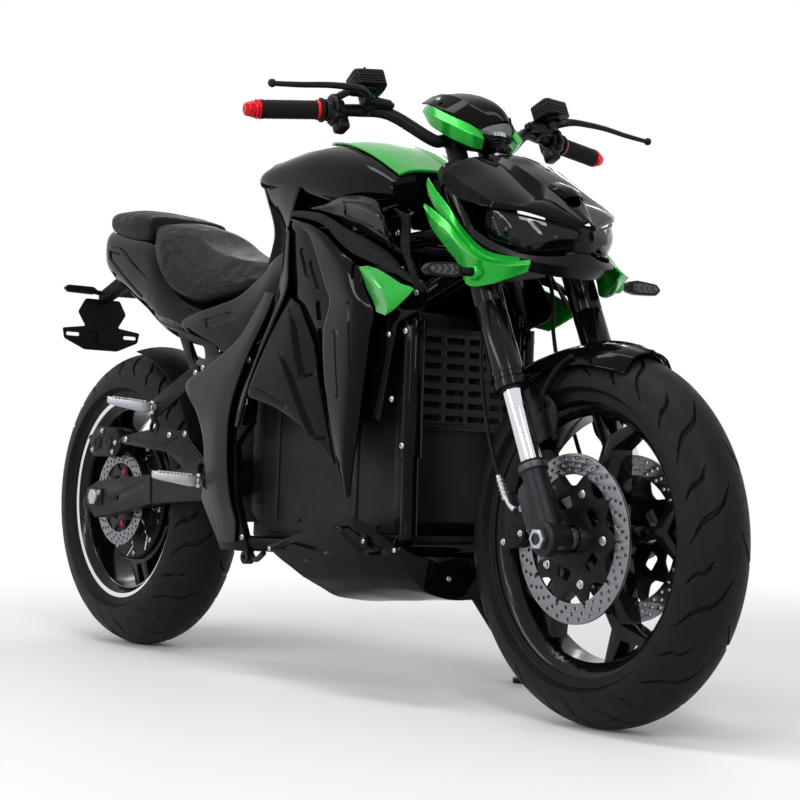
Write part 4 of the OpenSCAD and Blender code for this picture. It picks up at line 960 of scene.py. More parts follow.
# a spine along the middle and two pressed feature lines
ridge = panel([[(x, y * k, z + 8.4 - 1.8 * abs(y)) for y in (-1, 0, 1)] for x, z,
    k in ((24, 1004, 9), (60, 1008, 16), (160, 998, 22), (250, 970, 18), (322, 929, 9))], wall=2.0,
    way=(0, 0, 1), rim=0.5, along=8)
onChassis("greenTop", joined(top, ridge), "pearlGreenPaint", ("tank_top",))
seam = swept([(14, -40, 1006), (60, -75, 1001), (160, -112, 981), (250, -130, 943), (326, -134, 897)], 1.5,
    8, 10)
split = []   # where the tank's rear cap meets its body
for a in (88, 70, 50, 30, 10, -10, -30, -50):
    c, s = math.cos(math.radians(a)), math.sin(math.radians(a))
    split.append((-84 - 0.12 * a, -128 * c ** (2 / 2.6) - 0.4,
        950 + math.copysign(42 * abs(s) ** (2 / 2.6), s)))
onChassis("tankSplit", bothSides(swept(split, 1.7, 8, 8)), "satinGraphite")
onChassis("topSeams", bothSides(seam), "softRubber")

# recess, slot and rubber pad at the tank's rear
pad = panel([[(-128, -46, 977), (-134, 0, 983), (-128, 46, 977)],
    [(-96, -60, 989), (-98, 0, 995), (-96, 60, 989)], [(-60, -52, 997), (-60, 0, 1001), (-60, 52, 997)],
    [(-34, -30, 1001), (-30, 0, 1004), (-34, 30, 1001)]], wall=3.0, way=(0, 0, 1), rim=0.8)
onChassis("tankRearPad", pad, "mouldedTrim")
sideMark = panel([[(-112, -112, 950), (-108, -116, 941), (-104, -118, 930)],
    [(-80, -119, 953), (-78, -123, 943), (-76, -124, 930)],
    [(-44, -124, 951), (-44, -127, 942), (-42, -128, 930)]], wall=3.0, rim=0.6)
onChassis("tankSideInsets", bothSides(sideMark), "mouldedTrim")


# seats: foam under vinyl, swelled by a short cloth run from a slightly smaller form
seats = dict(voxel=5.5, pressure=4.0, travel=24.0, frames=20, seamRadius=1.6)


def cushion(rings, foot):
    made = bodyOf(rings, along=4, ease=9, steps=32)
    made.transform(Matrix.Scale(0.001, 4))
    made = worked(made, ("REMESH", dict(mode="VOXEL", voxel_size=seats["voxel"] / 1000)))
    before = [v.co.copy() for v in made.vertices]
    holder = bpy.data.objects.new("cushion", made)
    bpy.context.scene.collection.objects.link(holder)
    pinned = holder.vertex_groups.new(name="base")
    pinned.add([v.index for v in made.vertices if v.normal.z < -0.35 or v.co.x > foot], 1.0, "REPLACE")
    step = holder.modifiers.new("cloth", "CLOTH")
    cloth = step.settings
    cloth.use_pressure = True
    cloth.uniform_pressure_force = seats["pressure"]
    cloth.effector_weights.gravity = 0
    cloth.vertex_group_mass = "base"
    cloth.quality = 5
    cloth.tension_stiffness = cloth.compression_stiffness = 22
    step.collision_settings.use_collision = False
    for f in range(1, seats["frames"] + 1):
        bpy.context.scene.frame_set(f)
    swelled = bpy.data.meshes.new_from_object(holder.evaluated_get(bpy.context.evaluated_depsgraph_get()))
    for v, old in zip(swelled.vertices, before):
        way = v.co - old
        if way.length > seats["travel"] / 1000:
            v.co = old + way.normalized() * seats["travel"] / 1000
    bpy.data.objects.remove(holder)
    bpy.context.scene.frame_set(1)
    swelled.transform(Matrix.Scale(1000, 4))
    return worked(swelled, ("SMOOTH", dict(factor=0.5, iterations=2)),
        ("SUBSURF", dict(levels=1, render_levels=1)))


riderRings = [(-222, 58, 772, 748, 3), (-240, 92, 779, 732, 3.4), (-300, 125, 792, 719, 3.6),
    (-370, 138, 811, 721, 3.6), (-440, 142, 840, 745, 3.6), (-500, 132, 876, 787, 3.8),
    (-550, 113, 900, 825, 4), (-588, 92, 915, 858, 4)]
pillionRings = [(-603, 98, 929, 866, 5), (-612, 100, 931, 866, 5.5), (-660, 103, 940, 872, 5.5),
    (-730, 96, 949, 884, 5), (-800, 84, 956, 908, 4.2), (-826, 66, 956, 926, 3.6)]
riderSeat = onChassis("riderSeat", cushion(riderRings, -0.236), "seatVinyl", ("rider_seat",),
    180)
pillionSeat = onChassis("pillionSeat", cushion(pillionRings, -0.608), "seatVinyl",
    ("pillion_seat",), 180)


# sewn seams over the seats: piping that follows the cover
def pressed(mesh, path, sink=1.0, steps=16):   # a path in mm laid on a mesh from above
    back = leaned.inverted()
    tree = BVHTree.FromPolygons([back @ v.co for v in mesh.vertices],
        [tuple(f.vertices) for f in mesh.polygons])
    laid = []
    for p in through(path, steps):
        hit = tree.find_nearest(p)
        laid.append(hit[0] - hit[1] * sink)
    return laid


seams = []
for piece, paths in ((riderSeat, [[(-560, -86, 900), (-480, -112, 860), (-380, -118, 812),
        (-290, -104, 790), (-240, -70, 780)], [(-505, -130, 850), (-440, -148, 800), (-360, -146, 772),
        (-290, -132, 755), (-236, -92, 760)], [(-512, -132, 850), (-508, -70, 885), (-506, 0, 892)],
        [(-300, -128, 770), (-302, -60, 800), (-302, 0, 801)]]),
        (pillionSeat, [[(-612, -88, 925), (-690, -92, 940), (-770, -80, 951), (-815, -60, 955)],
        [(-612, -100, 900), (-690, -100, 910), (-770, -88, 928), (-818, -62, 942)],
        [(-706, -98, 915), (-704, -50, 946), (-704, 0, 947)]])):
    for path in paths:
        seams.append(bothSides(swept(pressed(piece.data, path), seats["seamRadius"], 6, 1)))
onChassis("seatSeams", joined(*seams), "softRubber", (), 60)

# tail cowl: an open tub with a pressed wedge on each side, and a grab recess under the pillion's rear
tubRings = [(-302, 116, 712, 632), (-420, 124, 746, 640), (-500, 125, 800, 656), (-550, 123, 846, 676),
    (-610, 118, 872, 708), (-700, 111, 890, 754), (-790, 99, 908, 799), (-832, 72, 918, 848)]


def tubRow(x, width, rim, low, steps=21):
    top, row = low + 1.17 * (rim - low), []
    for k in range(steps):
        a = math.radians(140 + 260 * k / (steps - 1))
        c, s = math.cos(a), math.sin(a)
        row.append((x, math.copysign(width * abs(c) ** (2 / 2.8), c),
            (top + low) / 2 + math.copysign((top - low) / 2 * abs(s) ** (2 / 2.8), s)))
    return row


tail = panel([tubRow(*r) for r in tubRings], wall=4.4, way=(0, 0, -1), rim=1.0, along=8, across=2)
tailMarks = [([(-774, 866), (-700, 850), (-560, 756), (-600, 748), (-690, 800), (-768, 846)], 4.0, 4.0),
    ([(-560, 726), (-470, 700), (-400, 690), (-400, 672), (-470, 680), (-560, 706)], 3.0, 4.0)]
tail = grooved(tail, *tailMarks)
onChassis("tailCowl", tail, "glossBlackPaint", ("tail_cowl",))
crease = swept([(-812, -87, 868), (-720, -111, 868), (-640, -118, 826), (-560, -122, 786),
    (-470, -125, 742), (-380, -124, 714)], 1.4, 8, 8)
onChassis("tailCreases", bothSides(crease), "softRubber")
print("tank, seats and tail ready")

# tyres: a fine skin whose grooves are pressed in; each groove runs from the shoulder toward the crown
tyres = dict(front=dict(radius=300, width=120, rimHalf=45, pitches=13, long=(0.82, 0.06, -19, 4.6),
    short=(0.86, 0.38, -11, 3.9), depth=6.5), rear=dict(radius=321, width=160, rimHalf=64, pitches=14,
    long=(0.80, 0.08, -17, 5.0), short=(0.84, 0.40, -10, 4.2), depth=7.0))


# a groove's run is (start, end, sweep in degrees, half width in mm)
def grooveMiddle(share, sweep):
    return sweep * share + 3.2 * math.sin(2 * math.pi * share) * (-0.6 if abs(sweep) > 12 else -0.4)


def grooveDepth(turn, across, pitch, run, depth):
    start, end, sweep, half = run
    share = (start - across) / (start - end)
    if not 0 <= share <= 1:
        return 0
    middle = grooveMiddle(share, sweep)
    off = (turn - middle + pitch / 2) % pitch - pitch / 2
    off = abs(off) * 4.6
    width = half * min(1, 4.2 * share + 0.25, 4.2 * (1 - share) + 0.2)
    if off >= width:
        return 0
    fall = min(1, (1 - off / width) * 2.1)
    return depth * fall * fall * (3 - 2 * fall) * min(1, 5 * share + 0.3, 5 * (1 - share) + 0.3)


def tyreMesh(radius, width, rimHalf, pitches, long, short, depth):
    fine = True
    steps, ways = (1040, 52) if fine else (520, 40)
    rimR = bike["rimR"]
    core, bead, pitch = max(radius - width / 2, rimR + 6), rimHalf - 6.5, 360 / pitches
    points = []
    inner = [(rimR + 1, -bead - 8.6), (rimR - 10, -bead - 8.6), (rimR - 10.6, -bead - 1),
        (rimR + 2, -bead - 1)]
    inner = inner + [(r, -z) for r, z in reversed(inner)]
    wallMarks = [(rimR + 2.4, -(bead + 8.8)), (rimR + 4.5, -(bead + 10.2)), (rimR + 5.2, -(bead + 9.4))]
    for i in range(steps):
        turn = 360 * i / steps
        ring = [(r, z) for r, z in wallMarks]
        for j in range(ways + 1):
            a = math.radians(-90 + 180 * j / ways)
            across = -1 + 2 * j / ways
            sink = 0
            side, shift = abs(across), 0 if across < 0 else pitch / 2
            # the mesh runs along the grooves
            lead = grooveMiddle(min(max((long[0] - side) / (long[0] - long[1]), 0), 1), long[2])
            for run, more in ((long, 0), (short, pitch / 2)):
                sink = max(sink, grooveDepth(turn + lead + shift + more, side, pitch, run, depth))
            r, z = core + (radius - core - sink) * math.cos(a), (width / 2 - sink * 0.6) * math.sin(a)
            ring.append((r, z, lead))
        ring += [(r, -z) for r, z in reversed(wallMarks)]
        ring += [(r, -z) for r, z in inner]
        for r, z, *lead in ring:
            at = math.radians(turn + sum(lead))
            points.append((r * math.cos(at), r * math.sin(at), z))
        n = len(ring)
    faces = [(i * n + j, ((i + 1) % steps) * n + j, ((i + 1) % steps) * n + (j + 1) % n,
        i * n + (j + 1) % n) for i in range(steps) for j in range(n)]
    made = meshOf(points, faces)
    made.flip_normals()
    return outward(made)


put("frontTyre", tyreMesh(**tyres["front"]), atFront, "tyreRubber", "front_wheel", ("front_tyre",),
    40)
put("rearTyre", tyreMesh(**tyres["rear"]), atRear, "tyreRubber", "rear_wheel", ("rear_tyre",), 40)
print("tyres ready")

# rims
rims = dict(spokeEase=2.0)
put("frontRim", refined("front_rim", rims["spokeEase"], 40), here, "wheelPaint", "front_wheel",
    ("front_rim",), 30)
put("rearRim", refined("rear_rim", rims["spokeEase"], 40), here, "wheelPaint", "rear_wheel",
    ("rear_rim",), 30)


def rimLip(half, rimR, z=1):
    lip = [(rimR + 0.2, half - 3), (rimR + 0.2, half + 0.3), (rimR - 5, half + 0.5),
        (rimR - 12, half - 1.6), (rimR - 19, half - 3.4), (rimR - 19, half - 5), (rimR - 12, half - 3.4)]
    made = spun(lip, 160)
    return moved(made, Matrix.Scale(z, 4, (0, 0, 1))) if z < 0 else made


put("rearRimLips", joined(rimLip(64, bike["rimR"]), rimLip(64, bike["rimR"], -1)), atRear,
    "turnedAluminium", "rear_wheel")
thin = [spun([(197, z - 1.2), (196.2, z - 1.4), (196.2, z + 1.4), (197, z + 1.2)], 160) for z in (-44, 44)]
put("rearRimLines", joined(*thin), atRear, "turnedAluminium", "rear_wheel")
rimR, half = bike["rimR"], tyres["front"]["rimHalf"]
ring = spun([(rimR - 1, half - 1), (rimR - 2.2, half + 0.5), (rimR - 4.2, half + 0.5),
    (rimR - 5, half - 1)], 160)
ringBack = moved(ring.copy(), Matrix.Scale(-1, 4, (0, 0, 1)))
put("frontRimRings", joined(ring, ringBack), atFront, "wheelPaint", "front_wheel")
for label, place, body, z in (("frontValve", atFront, "front_wheel", -8),
        ("rearValve", atRear, "rear_wheel", -10)):
    stem = joined(rod((-188, 0, z), (-176, 0, z - 3), 4.2, 16),
        rod((-178, 0, z - 2.5), (-160, 0, z - 7), 2.6, 16))
    put(label, moved(stem, turnBy(40, "Z")), place, "blackOxide", body)

# discs: drilled rings, black carriers, buttons
discs = dict(holes=3.0, hub=22, thick=4.6, frontSide=62.5, rearSide=-67.5)


def drilledRing(outer, inner, rows, count):
    outlines = [ringOf(outer, 160), ringOf(inner, 120)]
    for k in range(count):
        for row in range(rows):
            a = 2 * math.pi * (k + row * 0.36) / count
            r = inner + (outer - inner) * (row + 0.85) / (rows + 0.7)
            outlines.append(ringOf(discs["holes"], 14, r * math.cos(a), r * math.sin(a)))
    return cutOut(outlines, discs["thick"], 0.4)


def carrier(reach, low, hub, arms, holeAt, holeR):
    outline = []
    for i in range(240):
        a = 2 * math.pi * i / 240
        wave = 0.5 + 0.5 * math.cos(arms * a)
        wave = wave ** 1.6
        outline.append(((low + (reach - low) * wave) * math.cos(a),
            (low + (reach - low) * wave) * math.sin(a)))
    outlines = [outline, ringOf(hub, 64)]
    for k in range(5):
        a0 = 2 * math.pi * (k + 0.5) / 5
        shape = [(-0.30, holeAt - holeR), (0.30, holeAt - holeR), (0.20, holeAt + holeR),
            (-0.20, holeAt + holeR)]
        outlines.append(rounded([(r * math.cos(a0 + da), r * math.sin(a0 + da)) for da, r in shape], 5))
    return cutOut(outlines, 4.2, 0.7)


def mirrored(mesh):   # the same on the other side of the wheel
    return joined(mesh, moved(mesh.copy(), Matrix.Scale(-1, 4, (0, 0, 1))))


ring = moved(drilledRing(134.6, 101.5, 3, 30), moveBy(0, 0, discs["frontSide"]))
put("frontDiscs", mirrored(ring), atFront, "frontDiscSteel", "front_wheel", ("front_discs",))
arms = moved(carrier(106.5, 84, discs["hub"], 10, 60, 9), moveBy(0, 0, discs["frontSide"]))
boss = spun([(22, 42.2), (34, 42.2), (36, 46), (31, 52), (31, 59), (46, 60.6), (46, 61.6), (22, 61.6)], 72)
put("frontCarriers", mirrored(joined(arms, boss)), atFront, "powderCoat", "front_wheel")
bolts("frontDiscBolts", boltCircle(5, 74, 64.6, 15), "front_wheel", atFront, 7.2, flangedHead)
bolts("frontBobbins", boltCircle(10, 103.5, 64.4), "front_wheel", atFront, 3.6, buttonHead, "blackOxide")
ring = moved(drilledRing(104.6, 76, 3, 26), moveBy(0, 0, discs["rearSide"]))
put("rearDisc", ring, atRear, "rearDiscSteel", "rear_wheel", ("rear_disc",))
arms = moved(carrier(81, 60, discs["hub"], 10, 44, 5), moveBy(0, 0, discs["rearSide"]))
put("rearCarrier", arms, atRear, "powderCoat", "rear_wheel")
bolts("rearDiscBolts", boltCircle(5, 58, 69.6, 12, sides=(-1,)), "rear_wheel", atRear, 6.4, flangedHead,
    "redAnodised")

# hub motor: turned housing, a domed cover on each side with bright relief lines
shell = spun([(12.2, -63.5), (39.5, -63.5), (40, -63), (40, -51), (60, -51.6), (64, -50.6), (95, -40.4),
    (98, -37.6), (131, -37.4), (135.6, -34), (136, -30), (136, 30), (135.6, 34), (131, 37.4), (98, 37.6),
    (95, 40.4), (64, 50.6), (60, 51.6), (40, 51), (40, 63), (39.5, 63.5), (12.2, 63.5)], 144)
put("hubMotor", softEdges(shell, 0.8, 2, 25), atRear, "powderCoat", "rear_wheel",
    ("hub_motor",), 24)
bolts("hubMotorBolts", boltCircle(10, 122, 37.2, 7, 0.3), "rear_wheel", atRear, 6.5)
lines = []
for k in range(10):
    way = []
    for r, turn in ((72, 0), (86, 5), (100, 14), (108, 13), (129, 24)):
        a = math.radians(36 * k + turn)
        z = 38.0 if r > 97 else 39.6 + (96 - r) * 0.31
        way.append((r * math.cos(a), r * math.sin(a), z))
    lines.append(swept(way, 1.5, 6, 3, 0.6))
put("hubMotorLines", mirrored(joined(*lines)), atRear, "turnedAluminium", "rear_wheel")
put("frontAxle", refined("front_axle", 0.8), here, "zincPlate", "steering", ("front_axle",))
put("rearAxle", refined("rear_axle", 0.8), here, "zincPlate", "chassis", ("rear_axle",))
print("wheels ready")

# head: rows of the right half in mm, bars straight; each row runs from the outer edge to the middle
head = dict(wall=3.6, rim=0.8, lensWall=2.4, reflector=17)
hoodRows = [[(476, -143, 889), (481, -139, 903), (487, -94, 929), (478, -46, 936), (470, -40, 944),
    (452, -18, 950), (436, 0, 953)], [(507, -143, 860), (514, -137, 884), (517, -92, 911), (519, -46, 917),
    (514, -39, 930), (512, -18, 936), (511, 0, 938)],
    [(556, -141, 842), (560, -136, 861), (560, -92, 886), (556, -46, 894), (550, -37, 912), (546, -17, 917),
    (544, 0, 920)], [(592, -136, 832), (599, -131, 841), (597, -92, 862), (590, -46, 871), (582, -35, 894),
    (576, -16, 900), (573, 0, 902)], [(622, -112, 826), (628, -104, 833), (624, -76, 846), (618, -42, 853),
    (610, -31, 874), (606, -14, 879), (604, 0, 881)],
    [(640, -90, 822), (645, -84, 828), (644, -60, 838), (641, -34, 844), (637, -26, 857), (634, -12, 860),
    (632, 0, 862)], [(682, -20, 799), (685, -16, 803), (687, -11, 806), (688, -8, 807), (689, -6, 808),
    (690, -3, 810), (690, 0, 811)]]
chinRows = [[(540, -133, 806), (594, -120, 774), (636, -92, 755), (664, -46, 752), (674, 0, 762)],
    [(546, -136, 790), (596, -126, 762), (640, -97, 746), (664, -52, 738), (672, 0, 738)],
    [(560, -126, 752), (592, -112, 744), (626, -82, 730), (646, -44, 722), (654, 0, 720)]]
upperWing = [[(436, -143, 896), (438, -147, 884), (441, -145, 866)],
    [(462, -145, 873), (468, -151, 856), (464, -148, 842)],
    [(505, -146, 837), (513, -154, 820), (507, -149, 806)],
    [(545, -143, 796), (558, -153, 783), (554, -150, 772)],
    [(594, -134, 760), (604, -143, 750), (601, -144, 742)],
    [(640, -104, 748), (646, -109, 741), (644, -112, 735)]]
lowerWing = [[(438, -150, 851), (440, -154, 846), (440, -150, 838)],
    [(466, -152, 838), (472, -159, 822), (462, -151, 806)],
    [(510, -152, 812), (522, -162, 794), (498, -150, 774)],
    [(552, -151, 778), (570, -162, 760), (538, -148, 738)],
    [(598, -146, 750), (612, -154, 740), (556, -144, 706)],
    [(632, -123, 742), (642, -128, 733), (604, -130, 706)],
    [(656, -94, 744), (662, -99, 736), (653, -97, 724)]]
hood = panel([fullRow(r) for r in hoodRows], wall=head["wall"], way=(0, 0, 1), rim=head["rim"],
    sharpCols=(1, 3, 4, 8, 9, 11), along=7, across=4)
onHead("hood", hood, "glossBlackPaint", ("head_cowl",), 26)
chin = panel([fullRow(r) for r in chinRows], wall=head["wall"], way=(1, 0, 0), rim=head["rim"], along=5,
    across=5, sharpRows=(1,))
onHead("chin", chin, "satinPlastic", (), 30)
wings = bothSides(joined(panel(upperWing, wall=3.4, rim=1.0, sharpCols=(1,), along=8, across=6),
    panel(lowerWing, wall=3.4, rim=1.0, sharpCols=(1,), along=8, across=6)))
onHead("headWings", wings, "pearlGreenPaint", ("head_wings",), 26)
collar = moved(spun([(7.5, 0), (11, 0), (13.5, 4), (13.5, 12), (11, 13), (7.5, 13)], 40),
    moveBy(586, -160, 724) @ turnBy(-90, "X"))
onHead("wingBosses", bothSides(collar), "pearlGreenPaint")
# nose scoops on each side of the ridge, and the ridge's end wall
nose = panel([fullRow(r) for r in ([(618, -30, 873), (612, -22, 880), (608, 0, 884)],
    [(634, -26, 862), (638, -20, 868), (640, 0, 872)], [(650, -20, 850), (656, -14, 854), (660, 0, 856)])],
    wall=2.4, way=(0, 0, 1), rim=0.7, sharpCols=(1, 3))
onHead("noseBlock", block((644, -17, 760), (680, 17, 806), 5), "satinPlastic")
onHead("noseScoop", nose, "glossBlackPaint")

# lamps: smoked lens, bright frame, black housing with reflector bowls and slats of light guides
lensRows = [[(594, -127, 829), (588, -125, 806), (578, -117, 786)],
    [(628, -101, 819), (628, -105, 794), (611, -103, 773)],
    [(655, -65, 809), (660, -69, 784), (642, -75, 762)],
    [(679, -17, 797), (681, -16, 784), (668, -16, 770)]]
lens = bothSides(panel(lensRows, wall=head["lensWall"], way=(1, -1, 0), rim=0.5, along=8, across=8))
onHead("lampLenses", lens, "smokedLens", ("front_lamps",))
backRows = [[(x - 30, y * 0.9, z) for x, y, z in r] for r in lensRows]
onHead("lampBacks", bothSides(panel(backRows, wall=3, way=(1, -1, 0), rim=0.4, along=5, across=5)),
    "glossBlackPaint")
edge = [r[0] for r in lensRows] + [lensRows[-1][1]] + [r[2] for r in reversed(lensRows)] + [lensRows[0][1],
    lensRows[0][0]]
onHead("lampFrames", bothSides(swept(edge, 2.0, 8, 6)), "glossBlackPaint")
bowl = spun([(2, 0), (9, 3), (14, 10), (head["reflector"], 20), (head["reflector"] + 1, 20), (15, 9),
    (9.5, 2), (2, -1)], 40)
bowls, lights, bars = [], [], []
for x, y, z, size in ((588, -94, 797, 0.95), (614, -62, 790, 0.95), (640, -32, 786, 0.62)):
    at = moveBy(x, y, z) @ turnBy(74, "Y") @ turnBy(12, "X") @ Matrix.Scale(size, 4)
    bowls.append(moved(bowl.copy(), at))
    lights.append(moved(spun([(0, 3), (4, 3), (5, 6), (3.6, 9), (0, 10.5)], 24, closed=False), at))
for k in range(4):
    bars.append(swept([(598 - 2 * k, -104 + 3 * k, 812 - 7 * k), (622 - 2 * k, -78 + 3 * k, 808 - 7 * k)],
        1.5, 8, 4, 0.8))
for k in range(6):
    a = k / 5
    lights.append(moved(spun([(0, 0), (2.2, 0), (1.6, 1.4), (0, 2)], 14, closed=False),
        moveBy(584 + 10 * a, -117 + 7 * a, 816 - 27 * a) @ turnBy(74, "Y")))
onHead("lampBowls", bothSides(joined(*bowls)), "lampReflector")
onHead("lampGuides", bothSides(joined(*bars)), "lampReflector")
onHead("lampLights", bothSides(joined(*lights)), "ledWhite")

# turn signals: rubber stem, arrow body, clear lens with folded guides
arrow = [(-253, 723), (-243, 733), (-198, 737), (-180, 733), (-178, 725), (-180, 716), (-198, 712),
    (-243, 713)]
signals = [moved(cutOut([rounded(arrow, 4)], 16, 1.6), moveBy(581, 0, 0) @ faceForward)]
signals.append(rod((583, -181, 724), (584, -150, 724), 7.4, 24, 0, 1.5))
onHead("frontSignals", bothSides(joined(*signals)), "satinPlastic")
inset = [(-246, 724), (-238, 730), (-200, 733), (-188, 730), (-188, 719), (-200, 716), (-238, 717)]
lensPart = moved(cutOut([rounded(inset, 3)], 3.4, 0.9), moveBy(588.6, 0, 0) @ faceForward)
onHead("frontSignalLenses", bothSides(lensPart), "amberLens")
folds = [swept([(590.6, -238 + 13 * k, 719), (590.9, -231 + 13 * k, 725), (590.6, -238 + 13 * k, 731)], 1.3,
    6, 3) for k in range(4)]
onHead("frontSignalGuides", bothSides(joined(*folds)), "lampReflector")

# instruments and flyscreen
screenRows = [[(302, -64, 1052), (297, -40, 1068), (290, 0, 1076)],
    [(345, -73, 1041), (350, -46, 1063), (352, 0, 1071)],
    [(392, -67, 1020), (402, -42, 1044), (406, 0, 1054)],
    [(424, -50, 1003), (438, -30, 1020), (446, 0, 1031)],
    [(438, -34, 991), (456, -18, 1001), (468, 0, 1005)]]
trimRows = [[(312, -62, 1046), (318, -73, 1034), (330, -70, 1014)],
    [(345, -73, 1039), (356, -80, 1021), (352, -73, 1000)],
    [(392, -69, 1018), (406, -76, 998), (392, -67, 978)],
    [(426, -51, 1000), (440, -57, 980), (426, -49, 960)],
    [(440, -34, 987), (452, -37, 971), (440, -33, 955)]]
screen = panel([fullRow(r) for r in screenRows], wall=2.6, way=(0, 0, 1), rim=0.8, sharpCols=(1, 3),
    along=7, across=6)
onHead("flyscreen", screen, "glossBlackPaint", ("instrument_pod",), 26)
onHead("podTrims", bothSides(panel(trimRows, wall=3.0, rim=1.0, sharpCols=(1,), along=7, across=6)),
    "pearlGreenPaint", (), 26)
tub = bodyOf([(296, 44, 1066, 1046), (335, 64, 1060, 1016), (385, 62, 1046, 1000), (424, 42, 1014, 966),
    (446, 26, 990, 968)], ease=2)
stays = [rod((-26, s * 36, 1103), (-26, s * 36, 1138), 7.8, 24) for s in (-1, 1)]
onHead("podHousing", tub, "mouldedTrim")
onFork("podStays", joined(*stays), "powderCoat")
strip = panel([fullRow(r) for r in ([(438, -35, 990), (452, -22, 997), (466, 0, 1001)],
    [(434, -34, 978), (450, -21, 981), (461, 0, 984)])], wall=3, way=(1, 0, 0), rim=0.8, along=4, across=6)
onHead("podLightBar", strip, "clearLens")
cells = [block((431 + 9 * (1 - abs(k) / 6) * 2, 5.2 * k - 1.9, 981),
    (437 + 9 * (1 - abs(k) / 6) * 2, 5.2 * k + 1.9, 988), 0.6) for k in range(-5, 6)]
onHead("podLights", joined(*cells), "ledWhite")
vents = [swept([(440, -24 + 4 * k, 972 - 5 * k), (452, 0, 975 - 5 * k), (440, 24 - 4 * k, 972 - 5 * k)],
    1.8, 6, 8) for k in range(3)]
onHead("podVents", joined(*vents), "satinPlastic")
bolts("podBolts", [((356, s * 66, 1050.5), (0.3, s * 0.65, 0.75), 20) for s in (-1, 1)]
    + [((480, s * 30, 942), (0.35, s * 0.2, 0.9), 20) for s in (-1, 1)], "steering", turned, 4.6)
print("head ready")

# fork, clamps and controls, in the steering axis's own directions
fork = dict(tube=26, inner=17.8, low=573, top=990, collar=28.4)
clampTop, clampH, riserX, barHalf = 955, 26, -26, 370
barUp = clampTop + 130
legs = [moveBy(forkOff, s * bike["forkHalf"], 0) for s in (-1, 1)]


def onLegs(mesh):
    first = moved(mesh.copy(), legs[0])
    return joined(first, moved(mesh, legs[1]))


r, low, high = fork["tube"], fork["low"], fork["top"]
tube = spun([(20.7, low), (27.2, low), (fork["collar"], low + 1.2), (fork["collar"], low + 12.8),
    (27.6, low + 14), (r - 0.8, low + 14.6), (r - 0.8, low + 16), (r, low + 17), (r, low + 25.4),
    (27.2, low + 26.2), (27.4, low + 33.4), (r, low + 34.2), (r, low + 150), (r - 0.5, low + 151),
    (r - 0.5, low + 153), (r, low + 154), (r, high - 1), (r - 1.4, high), (17, high), (17, high - 3),
    (12, high - 3), (12, high - 8), (20.7, high - 10), (20.7, low + 30)], 72)
cap = softEdges(spun([(0, high - 9), (12.8, high - 9), (12.8, high + 4.8), (0, high + 4.8)], 6,
    closed=False), 0.8, 2, 25)
onFork("forkTubes", onLegs(joined(tube, cap)), "wheelPaint", ("fork_tubes",))
screw = spun([(0, high + 4.8), (5, high + 4.8), (5, high + 5.6), (4.2, high + 6.4), (1.2, high + 6.4),
    (1.0, high + 5.2), (0, high + 5.2)], 24, closed=False)
onFork("forkAdjusters", onLegs(screw), "redAnodised")
r = fork["inner"]
stanchion = spun([(r - 0.1, axleUp + 42), (r, axleUp + 44), (r, low + 56), (r - 0.3, low + 58),
    (r - 4, low + 58), (r - 4, axleUp + 42)], 64)
onFork("forkStanchions", onLegs(stanchion), "hardChrome", ("fork_inners",))
a = axleUp
lower = [spun([(0, a - 24), (17, a - 24), (20, a - 21), (22.6, a - 8), (23.4, a + 18), (22.6, a + 44),
    (21.4, a + 58), (21.2, a + 112), (23.4, a + 114), (24.2, a + 115.5), (24.2, a + 124.6), (23.2, a + 126),
    (17.9, a + 126), (17.9, a + 100), (0, a + 100)], 64, closed=False),
    moved(softEdges(spun([(10, -23), (26, -23), (28, -20), (28, 20), (26, 23), (10, 23)], 56), 1.2, 2, 30),
    moveBy(0, 0, a) @ turnBy(90, "X")), moved(cutOut([rounded([(-16, a + 14), (-40, a + 18), (-46, a + 30),
    (-46, a + 92), (-38, a + 102), (-16, a + 108)], 7)], 17, 3), turnBy(90, "X")),
    block((-30, -12, a - 26), (-12, 12, a - 4), 4)]
onFork("forkLowers", onLegs(joined(*lower)), "castAluminium", ("fork_lowers",), 26)
# flat guards between each stanchion and the tyre, hung from the fender
guards = []
for s in (-1, 1):
    plate = cutOut([rounded([(-20, low + 8), (22, low + 4), (50, low - 44), (52, a + 196), (34, a + 166),
        (-12, a + 168), (-26, low - 60)], 8)] + [[(x + 5.2 * math.cos(t), z + 5.2 * math.sin(t))
        for t in [math.pi * k / 8 for k in range(16)]] for x, z in ((28, low - 40), (30, low - 96))], 3,
        0.9)
    guards.append(moved(plate, moveBy(forkOff, s * 70, 0) @ turnBy(90, "X")))
onFork("forkGuards", joined(*guards), "satinPlastic")
seal = joined(spun([(18, a + 125.6), (23.6, a + 125.6), (23.8, a + 128), (20.4, a + 131), (18, a + 131.6)],
    56), spun([(18, low - 3), (21.4, low - 2.4), (21.8, low + 3), (18, low + 3)], 56))
onFork("forkWipers", onLegs(seal), "softRubber")
bolts("forkPinchBolts", [((forkOff - 46.2, s * bike["forkHalf"], axleUp + z), (-1, 0, 0), 20)
    for s in (-1, 1) for z in (34, 84)], "steering", onAxis, 6, flangedHead)
ends = [moved(spun([(0, 0), (9.5, 0), (9.5, 1.4), (6.4, 2.2), (6.0, 0.6), (0, 0.6)], 32, closed=False),
    moveBy(0, 0, 138.2))]
put("axleEnds", mirrored(joined(*ends)), atFront, "lampReflector", "steering")
put("clamps", refined("triple_clamps", 2.0, 35), here, "powderCoat", "steering",
    ("triple_clamps",), 28)
nut = softEdges(spun([(0, clampTop + clampH - 1), (17, clampTop + clampH - 1), (17, clampTop + clampH + 9),
    (9, clampTop + clampH + 9), (9, clampTop + clampH + 4), (0, clampTop + clampH + 4)], 6, closed=False),
    0.8, 2, 25)
onFork("stemNut", nut, "zincPlate")
